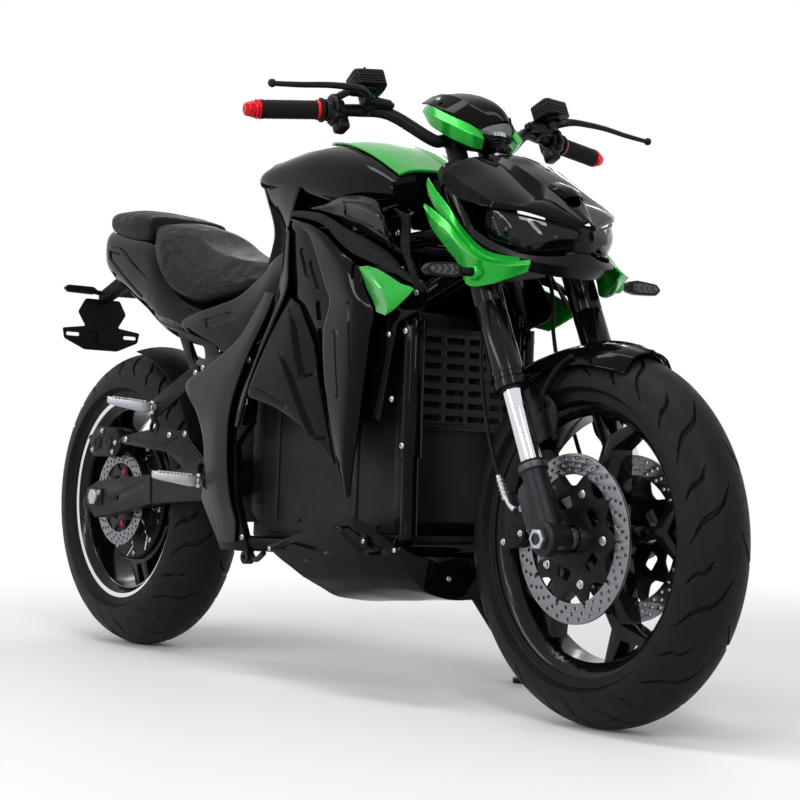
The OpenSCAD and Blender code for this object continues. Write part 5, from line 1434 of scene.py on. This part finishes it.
spots = [((riserX + x, s * (36 + y), barUp + 18.2), (0, 0, 1), 10) for s in (-1, 1) for x,
    y in ((-13, -11), (13, -11), (-13, 11), (13, 11))]
bolts("riserBolts", spots, "steering", onAxis, 3.6, buttonHead, "blackOxide")


def barPoints(s):
    return [Vector(p) for p in ((riserX, 0, barUp), (riserX, s * 85, barUp),
        (riserX - 16, s * 150, barUp + 52), (riserX - 36, s * 200, barUp + 65),
        (riserX - 82, s * barHalf, barUp + 72))]


def onGrip(s, start):
    p = barPoints(s)
    v = p[4] - p[3]
    k = (start - abs(p[3].y)) / (abs(p[4].y) - abs(p[3].y))
    return onAxis @ Matrix.Translation(p[3] + k * v) @ v.to_track_quat("Z", "X").to_matrix().to_4x4()


right, left = barPoints(-1), barPoints(1)
way = ([right[4], (right[3] + right[4]) / 2, right[3] * 0.85 + right[4] * 0.15, right[3], right[2],
    right[1]] + [Vector((riserX, y, barUp)) for y in (-60, -30, 0, 30, 60)]
    + [left[1], left[2], left[3], left[3] * 0.85 + left[4] * 0.15, (left[3] + left[4]) / 2, left[4]])
onFork("handlebar", swept(way, 10.95, 32, 6), "powderCoat", ("handlebar",))
grips = dict(start=262, ribs=19)
grips["length"] = (barHalf - grips["start"]) * (left[4] - left[3]).length / (left[4].y - left[3].y)


def gripProfile():   # rubber sleeve with a flange and bands of ribs
    n, length = grips["ribs"], grips["length"]
    profile = [(11.2, 0.4), (20.4, 0.4), (21, 1.2), (21, 4.8), (20.2, 5.8), (16.2, 7)]
    for k in range(n):
        z = 10 + (length - 20) * k / n
        step = (length - 20) / n
        profile += [(15.6, z), (16.4, z + 0.3 * step), (16.5, z + 0.6 * step), (15.6, z + 0.85 * step)]
    return profile + [(16.2, length - 5), (16.8, length - 3), (16.6, length - 0.4), (11.2, length - 0.4)]


for s, label in ((-1, "Right"), (1, "Left")):
    at = onGrip(s, grips["start"])
    put("grip" + label, spun(gripProfile(), 56), at, "softRubber", "steering",
        ("grips",) if s < 0 else ())
    z = grips["length"]
    end = spun([(0, z + 0.4), (16.4, z + 0.4), (17, z + 1.2), (17, z + 2.4), (15, z + 4.2), (15, z + 5),
        (16.8, z + 6.6), (16.8, z + 8.2), (14.6, z + 10), (14.3, z + 12), (14.6, z + 13.4), (13.2, z + 17),
        (12.2, z + 17.6), (12.8, z + 19), (11.6, z + 25.4), (9, z + 28.4), (4, z + 28.6), (3.4, z + 26),
        (0, z + 26)], 48, closed=False)
    put("barEnd" + label, end, at, "redAnodised", "steering")
    ring = spun([(17.2, 7), (17.6, 7.4), (17.6, 11.6), (17.2, 12.4), (16.1, 12.4), (16.1, 7)], 48)
    put("gripRing" + label, ring, at, "redAnodised", "steering")
    # switch block: two shells with a seam, a rocker, a button and a slide
    at = onGrip(s, 228)
    shells = [softEdges(spun([(11.3, 0), (18, 0), (19, 1), (19, 14.8), (18.4, 15.4), (18.4, 16), (19, 16.6),
        (19, 31), (18, 32), (11.3, 32)], 40), 0.3, 1, 25),
        block((-19.6, -15.6, 4), (19.6, 15.6, 14.8), 2.5),
        block((-19.6, -15.6, 15.8), (19.6, 15.6, 26.6), 2.5)]
    shells += [block((-24, -19, 6), (24, 19, 24), 6), block((-15, -26, 9), (15, 26, 21), 5)]
    thumb = block((riserX - 62, min(s * 224, s * 246), barUp + 26),
        (riserX - 34, max(s * 224, s * 246), barUp + 54), 5)
    onFork("thumbSwitch" + label, thumb, "satinPlastic")
    put("switchBlock" + label, joined(*shells), at, "satinPlastic", "steering",
        ("switchgear",) if s < 0 else ())
    keys = [block((-8, 15, 8), (6, 18.4, 22), 1.2),
        moved(spun([(0, 0), (5, 0), (5, 2.4), (4.2, 3.2), (0, 3.4)], 24, closed=False),
        moveBy(12, 15.4, 16) @ turnBy(-90, "X"))]
    put("switchKeys" + label, joined(*keys), at, "mouldedTrim" if s > 0 else "redAnodised", "steering")
    # lever perch, master cylinder, reservoir with ribs and lid, and the lever with its ball end
    o = moveBy(riserX + 8, s * 204, barUp)
    perch = [softEdges(spun([(0, 57.4), (8.8, 57.4), (8.8, 72), (0, 72)], 32, closed=False), 0.8, 2),
        swept([(-36, s * 38, 82), (-20, s * 22, 86), (-2, s * 3, 90)], 6.8, 16, 5),
        softEdges(spun([(0, 72.2), (14.6, 72.2), (15, 74), (13, 80.6), (0, 80.6)], 40, closed=False), 0.6,
        2)]
    perch += [rod((-12, s * 6, 66), (-12, -s * 50, 62), 9.4, 24, 0, 2),
        rod((-12, -s * 50, 62), (-12, -s * 56, 61.6), 6.4, 6),
        rod((-34, -s * 12, 72), (-34, -s * 12, 92), 7.4, 24, 0, 2),
        block((-40, min(-s * 4, -s * 22), 52), (-14, max(-s * 4, -s * 22), 78), 4)]
    onFork("perch" + label, moved(joined(*perch), o), "satinPlastic")
    outline = rounded([(-31, -22), (27, -24), (31, 0), (27, 24), (-31, 22)], 9, 6)
    cupLayers = []
    for k, (grow, z0, z1) in enumerate(((1.0, 80.8, 84), (0.94, 84, 86), (1.0, 86, 89), (0.94, 89, 91),
            (1.0, 91, 94), (0.94, 94, 96), (1.0, 96, 101))):
        cupLayers.append(moved(cutOut([[(x * grow, y * grow) for x, y in outline]], z1 - z0 + 0.3, 0.7),
            moveBy(0, 0, (z0 + z1) / 2)))
    lid = moved(cutOut([outline], 7.6, 1.6), moveBy(0, 0, 105.4))
    nub = moved(cutOut([[(x * 0.62, y * 0.55) for x, y in outline]], 2.2, 0.8), moveBy(0, 0, 109))
    onFork("reservoir" + label, moved(joined(*cupLayers, lid, nub),
        o @ turnBy(90 + s * 8, "Z") @ moveBy(2, 0, -2.5)), "satinPlastic")
    lever = swept([(riserX + 10, s * 208, barUp + 64.5), (riserX + 22, s * 222, barUp + 64),
        (riserX + 31, s * 244, barUp + 61), (riserX + 34, s * 300, barUp + 56),
        (riserX + 30, s * 360, barUp + 50), (riserX + 28, s * 408, barUp + 46)],
        [6.2, 6.4, 5.2, 4.4, 4.0, 3.6], 16, 6, 1.25)
    ball = moved(spun([(7.2 * math.sin(math.pi * k / 12), -7.2 * math.cos(math.pi * k / 12))
        for k in range(13)], 24, closed=False), moveBy(riserX + 28, s * 414, barUp + 46))
    onFork("lever" + label, joined(lever, ball), "satinPlastic", ("levers",) if s < 0 else ())
spots = [((riserX + 8 + x, s * 204 + y, barUp + 106.7), (0, 0, 1), 20) for s in (-1, 1) for x,
    y in ((-22, 13), (22, -13))]
bolts("reservoirScrews", spots, "steering", onAxis, 2.6, buttonHead)

# front fender, calipers and hoses
fenderRows = []
for k in range(13):
    a = 70 + 64 * k / 12
    r0 = 312 + 34 * (max(0, a - 95) / 40) ** 2
    ease = 1 - 0.5 * max(0, (a - 116) / 18) ** 2 if a > 116 else 1 - 0.25 * max(0, (78 - a) / 8)
    row = []
    for u in (-1, -0.9, -0.72, -0.45, -0.2, -0.06, 0):
        w = 66 * u * ease
        r1 = r0 - 14 * u * u + (3.4 if abs(u) < 0.1 else 0)
        row.append((frontX + r1 * math.cos(math.radians(a)), w,
            bike["frontR"] + (r1 - 24 * abs(u) ** 6) * math.sin(math.radians(a)) + 0.4))
    fenderRows.append(fullRow(row))
fender = panel(fenderRows, wall=3.2, way=(0, 0, 1), rim=0.9, along=3, across=3, sharpCols=(2, 5, 7, 10))
onHead("frontFender", fender, "glossBlackPaint", ("front_fender",), 24)
stays = []
for s in (-1, 1):
    stays.append(swept([(frontX - 10, s * 63, 588), (frontX - 40, s * 68, 566), (frontX - 66, s * 74, 528)],
        [6, 8, 7], 12, 6, 0.5))
onHead("fenderStays", joined(*stays), "powderCoat")
o = moveBy(-119, -22, discs["frontSide"])
body = joined(cutOut([rounded([(-36, -48), (-8, -48), (6, -42), (24, -30), (24, 26), (6, 40), (-8, 44),
    (-36, 44), (-36, 30), (-31, 24), (-31, -26), (-36, -32)], 6)], 13.4, 2.2))
outer = moved(body.copy(), moveBy(0, 0, 15))
inner = moved(body, moveBy(0, 0, -15))
bridges = [block((-35, -46, -11), (-23, -30, 11), 2), block((-35, 24, -11), (-23, 42, 11), 2),
    block((-34, -12, -9), (-23, 8, 9), 1.5)]
caps = []
for z in (-1, 1):
    for y in (-24, 20):
        caps.append(moved(spun([(0, 0), (13, 0), (14, 1), (13, 2.6), (8.5, 3.2), (8, 2.2), (0, 2.2)], 40,
            closed=False), moveBy(-6, y, z * 21) @ (turnBy(180, "X") if z < 0 else Matrix())))
whole = moved(joined(outer, inner, *bridges, *caps), o)
put("frontCalipers", mirrored(whole), atFront, "powderCoat", "steering", ("front_calipers",),
    28)
pads = moved(joined(block((-20, -34, -7.6), (16, 30, -3.2), 1), block((-20, -34, 3.2), (16, 30, 7.6), 1)),
    o)
put("frontPads", mirrored(pads), atFront, "castAluminium", "steering")
spots = [((-119 + x, -22 + y, s * (discs["frontSide"] + 22.2)), (0, 0, s), 25) for s in (-1, 1) for x,
    y in ((-29, -38), (-29, 34), (14, -22), (14, 18))]
bolts("caliperBolts", spots, "steering", atFront, 5.4, flangedHead)
put("frontHoses", refined("brake_hoses"), here, "softRubber", "steering", ("brake_hoses",), 180)
fittings = []
for s in (-1, 1):
    fittings.append(swept([(-60, s * 96, axleUp + 106), (-63, s * 95, axleUp + 132),
        (-65, s * 94.4, axleUp + 150)], [5.4, 5.4, 5.0], 14, 6))
    for k in range(4):
        fittings.append(rod((-61 - 0.8 * k, s * (95.8 - 0.3 * k), axleUp + 114 + 8 * k),
            (-61.2 - 0.8 * k, s * (95.7 - 0.3 * k), axleUp + 118 + 8 * k), 6.6, 20))
    fittings.append(swept([(-59, s * 96, axleUp + 108), (-56, s * 95, axleUp + 94),
        (-50, s * 92, axleUp + 84)], [4.4, 4.4, 6.0], 12, 6))
onFork("hoseFittings", joined(*fittings), "braidedSteel")
print("fork and controls ready")

# frame, battery and inner panels
put("frame", refined("frame", 1.0, 40), here, "glossBlackPaint", "chassis", ("frame",), 36)
spots = []
for s in (-1, 1):
    spots += [((x, s * 142.4, z), (0, s, 0), 20) for x,
        z in ((-282, 590), (-112, 600), (-116, 520), (-150, 300), (-112, 262), (-240, 360), (-252, 520))]
    spots += [((384, s * 141.4, 440), (0, s, 0)), ((384, s * 141.4, 636), (0, s, 0)),
        ((345, s * 137.4, 520), (0, s, 0))]
bolts("frameBolts", spots, "chassis", leaned, 6.0)
pivotCaps = [moved(spun([(0, 0), (21, 0), (22, 1.2), (22, 4), (19, 5), (17.6, 3.4), (12.5, 3.2), (12, 5.6),
    (8, 6.4), (7, 4.4), (0, 4.4)], 48), moveBy(-200, s * 142.2, 380) @ turnBy(-90 * s, "X"))
    for s in (-1, 1)]
onChassis("pivotCaps", joined(*pivotCaps), "blackOxide")

battery = dict(ease=3.5)
put("batteryBox", refined("battery_box", battery["ease"], 35), here, "powderCoat", "chassis",
    ("battery_box",), 30)
parts = [block((-138, -103, 264), (60, 103, 292), 3), block((60, -104.6, 266), (330, 104.6, 286), 3)]
for s in (-1, 1):   # lid seam, corner straps and a pressed field on each side
    parts.append(swept([(-140, s * 105.2, 560), (60, s * 105.4, 612), (350, s * 105.4, 612)], 2.2, 8, 6))
    parts.append(block((-60, min(s * 104, s * 107), 300), (-48, max(s * 104, s * 107), 610), 1.2))
    parts.append(block((196, min(s * 104, s * 107), 292), (208, max(s * 104, s * 107), 640), 1.2))
    parts.append(block((318, min(s * 104, s * 107.4), 300), (348, max(s * 104, s * 107.4), 640), 1.6))
onChassis("batteryTray", joined(*parts), "powderCoat")
bolts("batteryBolts", boltsAt(107.6, ((333, 318), (333, 420), (333, 520), (333, 622)), 15)
    + boltsAt(105.4, ((-120, 330), (-120, 540), (20, 300), (270, 300)), 15), "chassis", leaned, 5.2,
    flangedHead, "blackOxide")
grille = dict(rows=7, columns=4, pitch=(50, 22.6), slot=(38, 9.5))
holes = []
for row in range(grille["rows"]):
    for column in range(grille["columns"]):
        y, z = grille["pitch"][0] * (column - (grille["columns"] - 1) / 2), 491 + grille["pitch"][1] * row
        w, h = grille["slot"][0] / 2, grille["slot"][1] / 2
        holes.append(rounded([(y - w, z - h), (y + w, z - h), (y + w, z + h), (y - w, z + h)], 3.6))
cover = moved(cutOut([rounded([(-104, 470), (104, 470), (104, 648), (-104, 648)], 8)] + holes, 8, 1.6),
    moveBy(370, 0, 0) @ faceForward)
edge = [(374.6, y, z) for y, z in ((-97, 477), (97, 477), (97, 641), (-97, 641), (-97, 478))]
onChassis("controllerGrille", joined(cover, swept(edge, 1.4, 8, 1)), "satinPlastic",
    ("controller_cover",))
bolts("grilleBolts", [((374.2, s * y, z), (1, 0, 0), 20) for s in (-1, 1) for y,
    z in ((96, 478), (96, 640), (4, 640))], "chassis", leaned, 4.4, buttonHead, "blackOxide")

liner = [(-44, 530), (2, 656), (32, 720), (46, 800), (62, 837), (330, 837), (361, 825), (361, 790),
    (387, 762), (423, 720), (442, 694), (429, 673), (358, 653), (343, 600), (316, 482), (60, 486)]


# a plate seen from the side: x and z, from y = low toward the left
def sidePlate(outline, low, thick, corner=6, ease=0.9, **how):
    made = cutOut([rounded(outline, corner)] + how.get("holes", []), thick, ease)
    return moved(made, moveBy(0, low + thick / 2, 0) @ turnBy(90, "X"))


plates = [sidePlate(liner, -140.6, 2.9)]
# pressed fields and stiffening beads of the inner panels
plates += [sidePlate([(214, 812), (318, 812), (340, 796), (340, 770), (300, 752), (236, 770)], -142.2, 1.8,
    8, 0.8), sidePlate([(322, 742), (392, 744), (420, 704), (400, 690), (330, 690)], -142.2, 1.8, 8, 0.8)]
plates += [swept([(330, -141.4, 660), (334, -141.4, 610), (318, -141.4, 540), (300, -141.4, 490)], 2.4, 8,
    8)]
onChassis("sideLiners", bothSides(joined(*plates)), "glossBlackPaint", ("side_liners",), 28)
guard = [(-214, 300), (-214, 560), (-180, 600), (-100, 600), (-100, 292), (-190, 288)]
onChassis("splashGuards", bothSides(sidePlate(guard, -89, 3, 10)), "mouldedTrim")
spots = boltsAt(142.8, ((352, 806), (368, 742), (338, 632), (412, 700), (226, 826)))
bolts("linerBolts", spots, "chassis", leaned, 5.6)

# belly pan: two blades with pressed grooves and a bolt recess, closed by a nose
bellyRows = [[(-9, -154, 250), (6, -157, 246), (40, -156, 230), (74, -153, 216), (110, -149, 200),
    (150, -135, 183), (180, -118, 169), (190, -50, 161), (190, 0, 161)],
    [(133, -156, 287), (140, -159, 270), (160, -159, 240), (178, -156, 220), (196, -149, 202),
    (210, -136, 187), (222, -118, 175), (232, -50, 165), (232, 0, 165)],
    [(205, -157, 303), (212, -160, 284), (224, -160, 250), (236, -157, 229), (246, -149, 208),
    (256, -136, 193), (264, -118, 181), (270, -50, 168), (270, 0, 168)],
    [(270, -157, 316), (276, -160, 296), (284, -160, 262), (290, -157, 239), (295, -149, 216),
    (299, -136, 200), (302, -118, 188), (305, -50, 171), (305, 0, 171)],
    [(336, -152, 290), (340, -154, 276), (345, -152, 252), (349, -148, 233), (353, -138, 215),
    (356, -126, 203), (358, -108, 192), (361, -50, 177), (361, 0, 177)],
    [(386, -146, 266), (389, -145, 257), (393, -142, 244), (398, -134, 228), (402, -123, 214),
    (406, -110, 202), (409, -92, 190), (413, -45, 179), (413, 0, 179)],
    [(388, -140, 269), (392, -138, 266), (397, -135, 262), (403, -127, 258), (409, -117, 253),
    (414, -104, 249), (417, -88, 244), (420, -44, 238), (420, 0, 236)]]
belly = panel([fullRow(r) for r in bellyRows], wall=4.4, way=(0, 0, -1), rim=1.2, sharpCols=(1, 4, 12, 15),
    sharpRows=(3, 5), along=5, across=4)
belly = grooved(belly, ([(10, 247), (70, 266), (222, 250), (120, 226)], 7.0, 8.0),
    ([(210, 297), (250, 302), (380, 254), (300, 250)], 7.0, 8.0))
onChassis("bellyPan", belly, "glossBlackPaint", ("belly_pan",), 22)
recess = moved(spun([(5, 0.2), (6, 1.4), (10.5, 1.6), (11.5, 0.8), (11.8, -1), (5, -1)], 40),
    moveBy(308, -161, 274) @ turnBy(90, "X") @ turnBy(-10, "Y"))
onChassis("bellyRecesses", bothSides(recess), "mouldedTrim")
spots = [((x, s * y, z), (0, s, 0.1), 10) for s in (-1, 1) for x, y,
    z in ((308, 160.6, 274), (8, 157.8, 246), (380, 147.4, 262))]
spots += [((419.8, s * 60, 216), (1, 0, -0.1), 10) for s in (-1, 1)]
bolts("bellyBolts", spots, "chassis", leaned, 4.6)
brackets = []
gusset = [(-404, 676), (-246, 634), (-226, 600), (-262, 560), (-312, 556), (-352, 600)]
port = [(-352, 648), (-290, 632), (-284, 604), (-310, 590), (-340, 614)]
brackets.append(bothSides(sidePlate(gusset, -137, 5, 12, 1.4, holes=[rounded(port, 10)])))
brackets.append(bothSides(swept([(-404, -118, 672), (-350, -124, 610), (-300, -130, 568)], 9, 16, 6)))
for s in (-1, 1):
    brackets.append(swept([(-118, s * 122, 244), (-96, s * 130, 228), (-66, s * 138, 222),
        (-30, s * 146, 236)], 5.5, 14, 6))
    brackets.append(moved(spun([(5, -9), (12, -9), (13, -8), (13, 8), (12, 9), (5, 9)], 32),
        moveBy(-104, s * 134, 224) @ turnBy(90, "X")))
onChassis("bellyStays", joined(*brackets), "powderCoat")

# tail: lamps, plate carrier
bar = joined(block((-833, -58, 854), (-826.5, 58, 886), 2.6),
    *[block((-834, -56 + 14.2 * k, 858), (-831.6, -44 + 14.2 * k, 882), 1.0) for k in range(8)])
onChassis("tailLamp", bar, "redLens", ("rear_lamps",))
arrow = [(-108, 794), (-99, 802), (-36, 802), (-26, 797), (-25, 790), (-28, 786), (-36, 784), (-99, 785)]
rearSignals = [moved(cutOut([rounded(arrow, 3)], 12, 1.6), moveBy(-972, 0, 0) @ faceForward),
    rod((-973, -26, 790), (-973, -14.4, 790), 5.8, 20, 0, 1)]
onChassis("rearSignals", bothSides(joined(*rearSignals)), "satinPlastic")
glass = [(-103, 794), (-96, 799.6), (-40, 799.6), (-33, 796), (-33, 789), (-40, 786.4), (-96, 787.4)]
onChassis("rearSignalLenses", bothSides(moved(cutOut([rounded(glass, 2)], 2.6, 0.8),
    moveBy(-978.6, 0, 0) @ faceForward)), "amberLens")
outline = [(-100, 704), (-95, 680), (-42, 657), (42, 657), (95, 680), (100, 704), (42, 712), (62, 744),
    (44, 776), (-44, 776), (-62, 744), (-42, 712)]
slots = []
for s in (-1, 1):
    slots.append([(s * 61 + 4 * math.cos(a), 691 + 4 * math.sin(a))
        for a in [math.pi * (0.5 if s > 0 else -0.5) + math.pi * k / 8 for k in range(9)]]
        + [(s * 87 + 4 * math.cos(a), 691 + 4 * math.sin(a))
        for a in [math.pi * (-0.5 if s > 0 else 0.5) + math.pi * k / 8 for k in range(9)]])
plate = moved(cutOut([rounded(outline, 5)] + slots, 4.6, 1.1), moveBy(-987.5, 0, 0) @ faceForward)
flange = [moved(cutOut([rounded([(-40, 716), (40, 716), (56, 744), (40, 771), (-40, 771), (-56, 744)], 5)],
    2.4, 0.8), moveBy(-989.6, 0, 0) @ faceForward), block((-991, -34, 700), (-984, 34, 706), 1.5),
    block((-986, -12, 672), (-976, 12, 700), 2)]
arm = moved(cutOut([rounded([(-985, 766), (-985, 791), (-852, 837), (-800, 795), (-763, 771), (-763, 761),
    (-850, 801)], 6)], 27, 3), turnBy(90, "X"))
onChassis("plateCarrier", joined(plate, *flange, arm), "mouldedTrim", ("plate_bracket",), 28)
lamp = joined(block((-996, -16, 712), (-989, 16, 724), 2.5))
onChassis("plateLamp", lamp, "clearLens")
spots = [((-990.4, s * y, z), (-1, 0, 0), 15) for s in (-1, 1) for y,
    z in ((28, 760), (28, 730), (14, 668))]
bolts("plateBolts", spots, "chassis", leaned, 3.8, buttonHead, "blackOxide")

# swingarm: boxed arms with a seam, end caps with adjusters; brace plates, caliper, shock
put("swingarm", refined("swingarm", 3.2, 35), here, "powderCoat", "chassis", ("swingarm",),
    30)
extra = []
for s in (-1, 1):
    y0, y1 = sorted((s * 127.8, s * 130.6))
    extra.append(block((-776, y0, 303), (-708, y1, 339), 2.4))
    extra.append(swept([(-500, s * 128.6, 374), (-499, s * 128.9, 344), (-496, s * 128.6, 315)], 1.6, 8, 6))
    extra.append(block((-790, min(s * 98, s * 124), 306), (-772, max(s * 98, s * 124), 336), 2.2))
    extra.append(rod((-800, s * 111, 321), (-786, s * 111, 321), 5, 6))
onChassis("swingarmCaps", joined(*extra), "powderCoat")
bolts("adjusterBolts", [((-790.6, s * 111, 321), (-1, 0, 0)) for s in (-1, 1)]
    + [((-720, s * 130.8, 331), (0, s, 0)) for s in (-1, 1)]
    + [((-228, s * 129, 398), (0, s, 0)) for s in (-1, 1)], "chassis", leaned, 6.0, flangedHead)
brace = [(-258, 353), (-242, 347), (-242, 395), (-345, 461), (-418, 475), (-588, 453), (-598, 437),
    (-402, 421)]
hanger = [(-300, 561), (-285, 571), (-300, 599), (-469, 529), (-477, 500), (-451, 493)]
pegParts = [sidePlate(brace, -148.4, 5.8, 10, 1.6), sidePlate(hanger, -148.4, 5.8, 8, 1.6),
    sidePlate([(-560, 449), (-420, 465), (-356, 452), (-420, 436)], -149.8, 2.2, 6, 0.8)]
ringShape = moved(spun([(11, 0), (15.5, 0), (16.4, 1), (16.4, 6), (15.2, 7), (11, 7)], 40),
    moveBy(-458, -144, 470) @ turnBy(90, "X"))
hub = moved(spun([(12, 0), (20, 0), (22, 2), (22, 8), (20, 10), (15, 10.6), (13.6, 8.4), (12, 8.4)], 48),
    moveBy(-252, -146, 388) @ turnBy(90, "X"))
pegParts += [ringShape, hub, swept([(-458, -148, 484), (-462, -148, 496), (-462, -148, 508)], 7, 12, 4)]
onChassis("pegHangers", bothSides(joined(*pegParts)), "powderCoat", ("peg_plates",), 30)
spots = boltsAt(149, ((-574, 446), (-392, 456), (-262, 360), (-298, 580), (-330, 458)))
bolts("hangerBolts", spots, "chassis", leaned, 6.4)


# foot pegs: cast bars, flat and toothed on top, tapering to an upturned toe
def footPeg(x, z, out, back, down):
    a, b = Vector((x, -158, z)), Vector((x - back, -158 - out, z - down))
    built = []
    rows = []
    for t, half, high, lowZ in ((0, 8, 8, -9), (0.12, 11, 9, -13), (0.3, 12, 8.5, -12), (0.7, 10, 8, -8),
            (0.94, 7.5, 8, -5), (1.0, 6, 11, -3)):
        c = a + (b - a) * t
        rows.append([(c.x - half, c.y, c.z + high), (c.x + half, c.y, c.z + high),
            (c.x + half * 0.9, c.y, c.z + lowZ * 0.5), (c.x + half * 0.35, c.y, c.z + lowZ),
            (c.x - half * 0.35, c.y, c.z + lowZ), (c.x - half * 0.9, c.y, c.z + lowZ * 0.5)])
    points = [p for r in rows for p in r]
    faces = [(i * 6 + j, i * 6 + (j + 1) % 6, (i + 1) * 6 + (j + 1) % 6, (i + 1) * 6 + j)
        for i in range(len(rows) - 1) for j in range(6)]
    faces += [tuple(range(6)), tuple(range(30, 36))]
    built.append(softEdges(outward(meshOf(points, faces)), 1.4, 2, 25))
    for k in range(10):
        c = a + (b - a) * (0.18 + 0.076 * k)
        half = 12.4 - 0.42 * k
        built.append(swept([(c.x - half, c.y, c.z + 8.4), (c.x, c.y, c.z + 10),
            (c.x + half, c.y, c.z + 8.4)], 2.6, 6, 3))
    built.append(rod((x, -148.8, z), (x, -162, z), 9.4, 24, 0, 1.2))
    built.append(rod((x + 1, -155, z - 14), (x + 1, -155, z + 13), 5.2, 20, 0, 1))
    return joined(*built)


pegs = joined(footPeg(-262, 366, 86, 24, -6), footPeg(-458, 512, 86, 24, -8))
onChassis("footPegs", bothSides(pegs), "blastedAluminium", ("footpegs",), 30)
body = [sidePlate([(-810, 409), (-702, 409), (-678, 431), (-702, 471), (-788, 477), (-824, 446)], -105, 22,
    9, 3), sidePlate([(-812, 450), (-796, 470), (-704, 466), (-692, 446), (-740, 438), (-790, 434)], -83,
    16, 5, 1), sidePlate([(-810, 409), (-702, 409), (-678, 431), (-702, 471), (-788, 477), (-824, 446)],
    -68, 17, 9, 3)]
body += [moved(spun([(0, 0), (15, 0), (16, 1.2), (14.6, 3), (9, 3.4), (8.4, 2.2), (0, 2.2)], 40),
    moveBy(x, -104.6, 440) @ turnBy(90, "X")) for x in (-784, -734)]
body += [rod((-690, -100, 440), (-660, -104, 452), 6, 16), rod((-826, -94, 446), (-838, -92, 452), 7, 16)]
onChassis("rearCaliper", joined(*body), "powderCoat", ("rear_caliper",), 30)
bolts("rearCaliperBolts", [((x, -106.4, z), (0, -1, 0), 15) for x,
    z in ((-762, 466), (-700, 440), (-804, 424), (-712, 420))], "chassis", leaned, 5.6, flangedHead)


# shock: damper body, bright rod, reservoir collar and a wound spring
def coilTree():   # a wound wire round z; the turns, radius and length are its inputs
    tree = bpy.data.node_groups.new("woundSpring", "GeometryNodeTree")
    for label, kind in (("Turns", "NodeSocketFloat"), ("Radius", "NodeSocketFloat"),
            ("Length", "NodeSocketFloat"), ("Wire", "NodeSocketFloat"), ("Finish", "NodeSocketMaterial")):
        tree.interface.new_socket(label, in_out="INPUT", socket_type=kind)
    tree.interface.new_socket("Geometry", in_out="OUTPUT", socket_type="NodeSocketGeometry")
    given = addNode(tree, "NodeGroupInput").outputs
    spiral = addNode(tree, "GeometryNodeCurveSpiral",
        {"Rotations": given["Turns"], "Start Radius": given["Radius"], "End Radius": given["Radius"],
        "Height": given["Length"], "Resolution": 28})
    section = addNode(tree, "GeometryNodeCurvePrimitiveCircle", {"Radius": given["Wire"], "Resolution": 12})
    mesh = addNode(tree, "GeometryNodeCurveToMesh",
        {"Curve": spiral.outputs[0], "Profile Curve": section.outputs[0], "Fill Caps": True})
    real = addNode(tree, "GeometryNodeRealizeInstances", {"Geometry": mesh.outputs[0]})
    paint = addNode(tree, "GeometryNodeSetMaterial",
        {"Geometry": real.outputs[0], "Material": given["Finish"]})
    addNode(tree, "NodeGroupOutput", {"Geometry": paint.outputs[0]})
    return tree


woundSpring = coilTree()


def coil(turns, radius, length, wire, finishName):
    made = runTree(woundSpring, bpy.data.meshes.new("work"), turns=float(turns), radius=float(radius),
        length=float(length), wire=float(wire), finish=finish[finishName])
    made.materials.clear()
    for face in made.polygons:
        face.material_index = 0
    return outward(made)


shock = dict(low=(-222, 0, 446), high=(-142, 0, 597), turns=6.5, springR=23.5, wire=4.2)
way = Vector(shock["high"]) - Vector(shock["low"])
at = leaned @ Matrix.Translation(shock["low"]) @ way.to_track_quat("Z", "Y").to_matrix().to_4x4()
n = way.length
body = spun([(0, 0), (12, 0), (13, 1), (13, 8), (22, 14), (24, 18), (24, 24), (20, 27), (19, 100),
    (15, 102), (8, 104), (8, n - 26), (24, n - 24), (26, n - 20), (26, n - 14), (14, n - 10), (12.6, n - 1),
    (0, n)], 56, closed=False)
put("shockBody", body, at, "powderCoat", "chassis", ("rear_shock",))
put("shockSpring", moved(coil(shock["turns"], shock["springR"], n - 52, shock["wire"], "redAnodised"),
    moveBy(0, 0, 26)), at, "redAnodised", "chassis")
huggerRows = []
for k in range(9):
    a = math.radians(20 + 7.5 * k)
    row = []
    for u in (-1, -0.86, -0.6, -0.3, 0):
        r = bike["rearR"] + 16.6 - 14 * u * u
        row.append((rearX + 2 + r * math.cos(a), u * 75, bike["rearR"] + 1 + r * math.sin(a)))
    huggerRows.append(fullRow(row))
hug = panel(huggerRows, wall=3, way=(1, 0, 1), rim=0.9, along=4, across=4, sharpCols=(1, 7))
onChassis("hugger", hug, "mouldedTrim", ("hugger",), 28)
put("sideStand", refined("side_stand", 1.4, 35), here, "powderCoat", "side_stand",
    ("side_stand",), 30)
print("chassis ready")
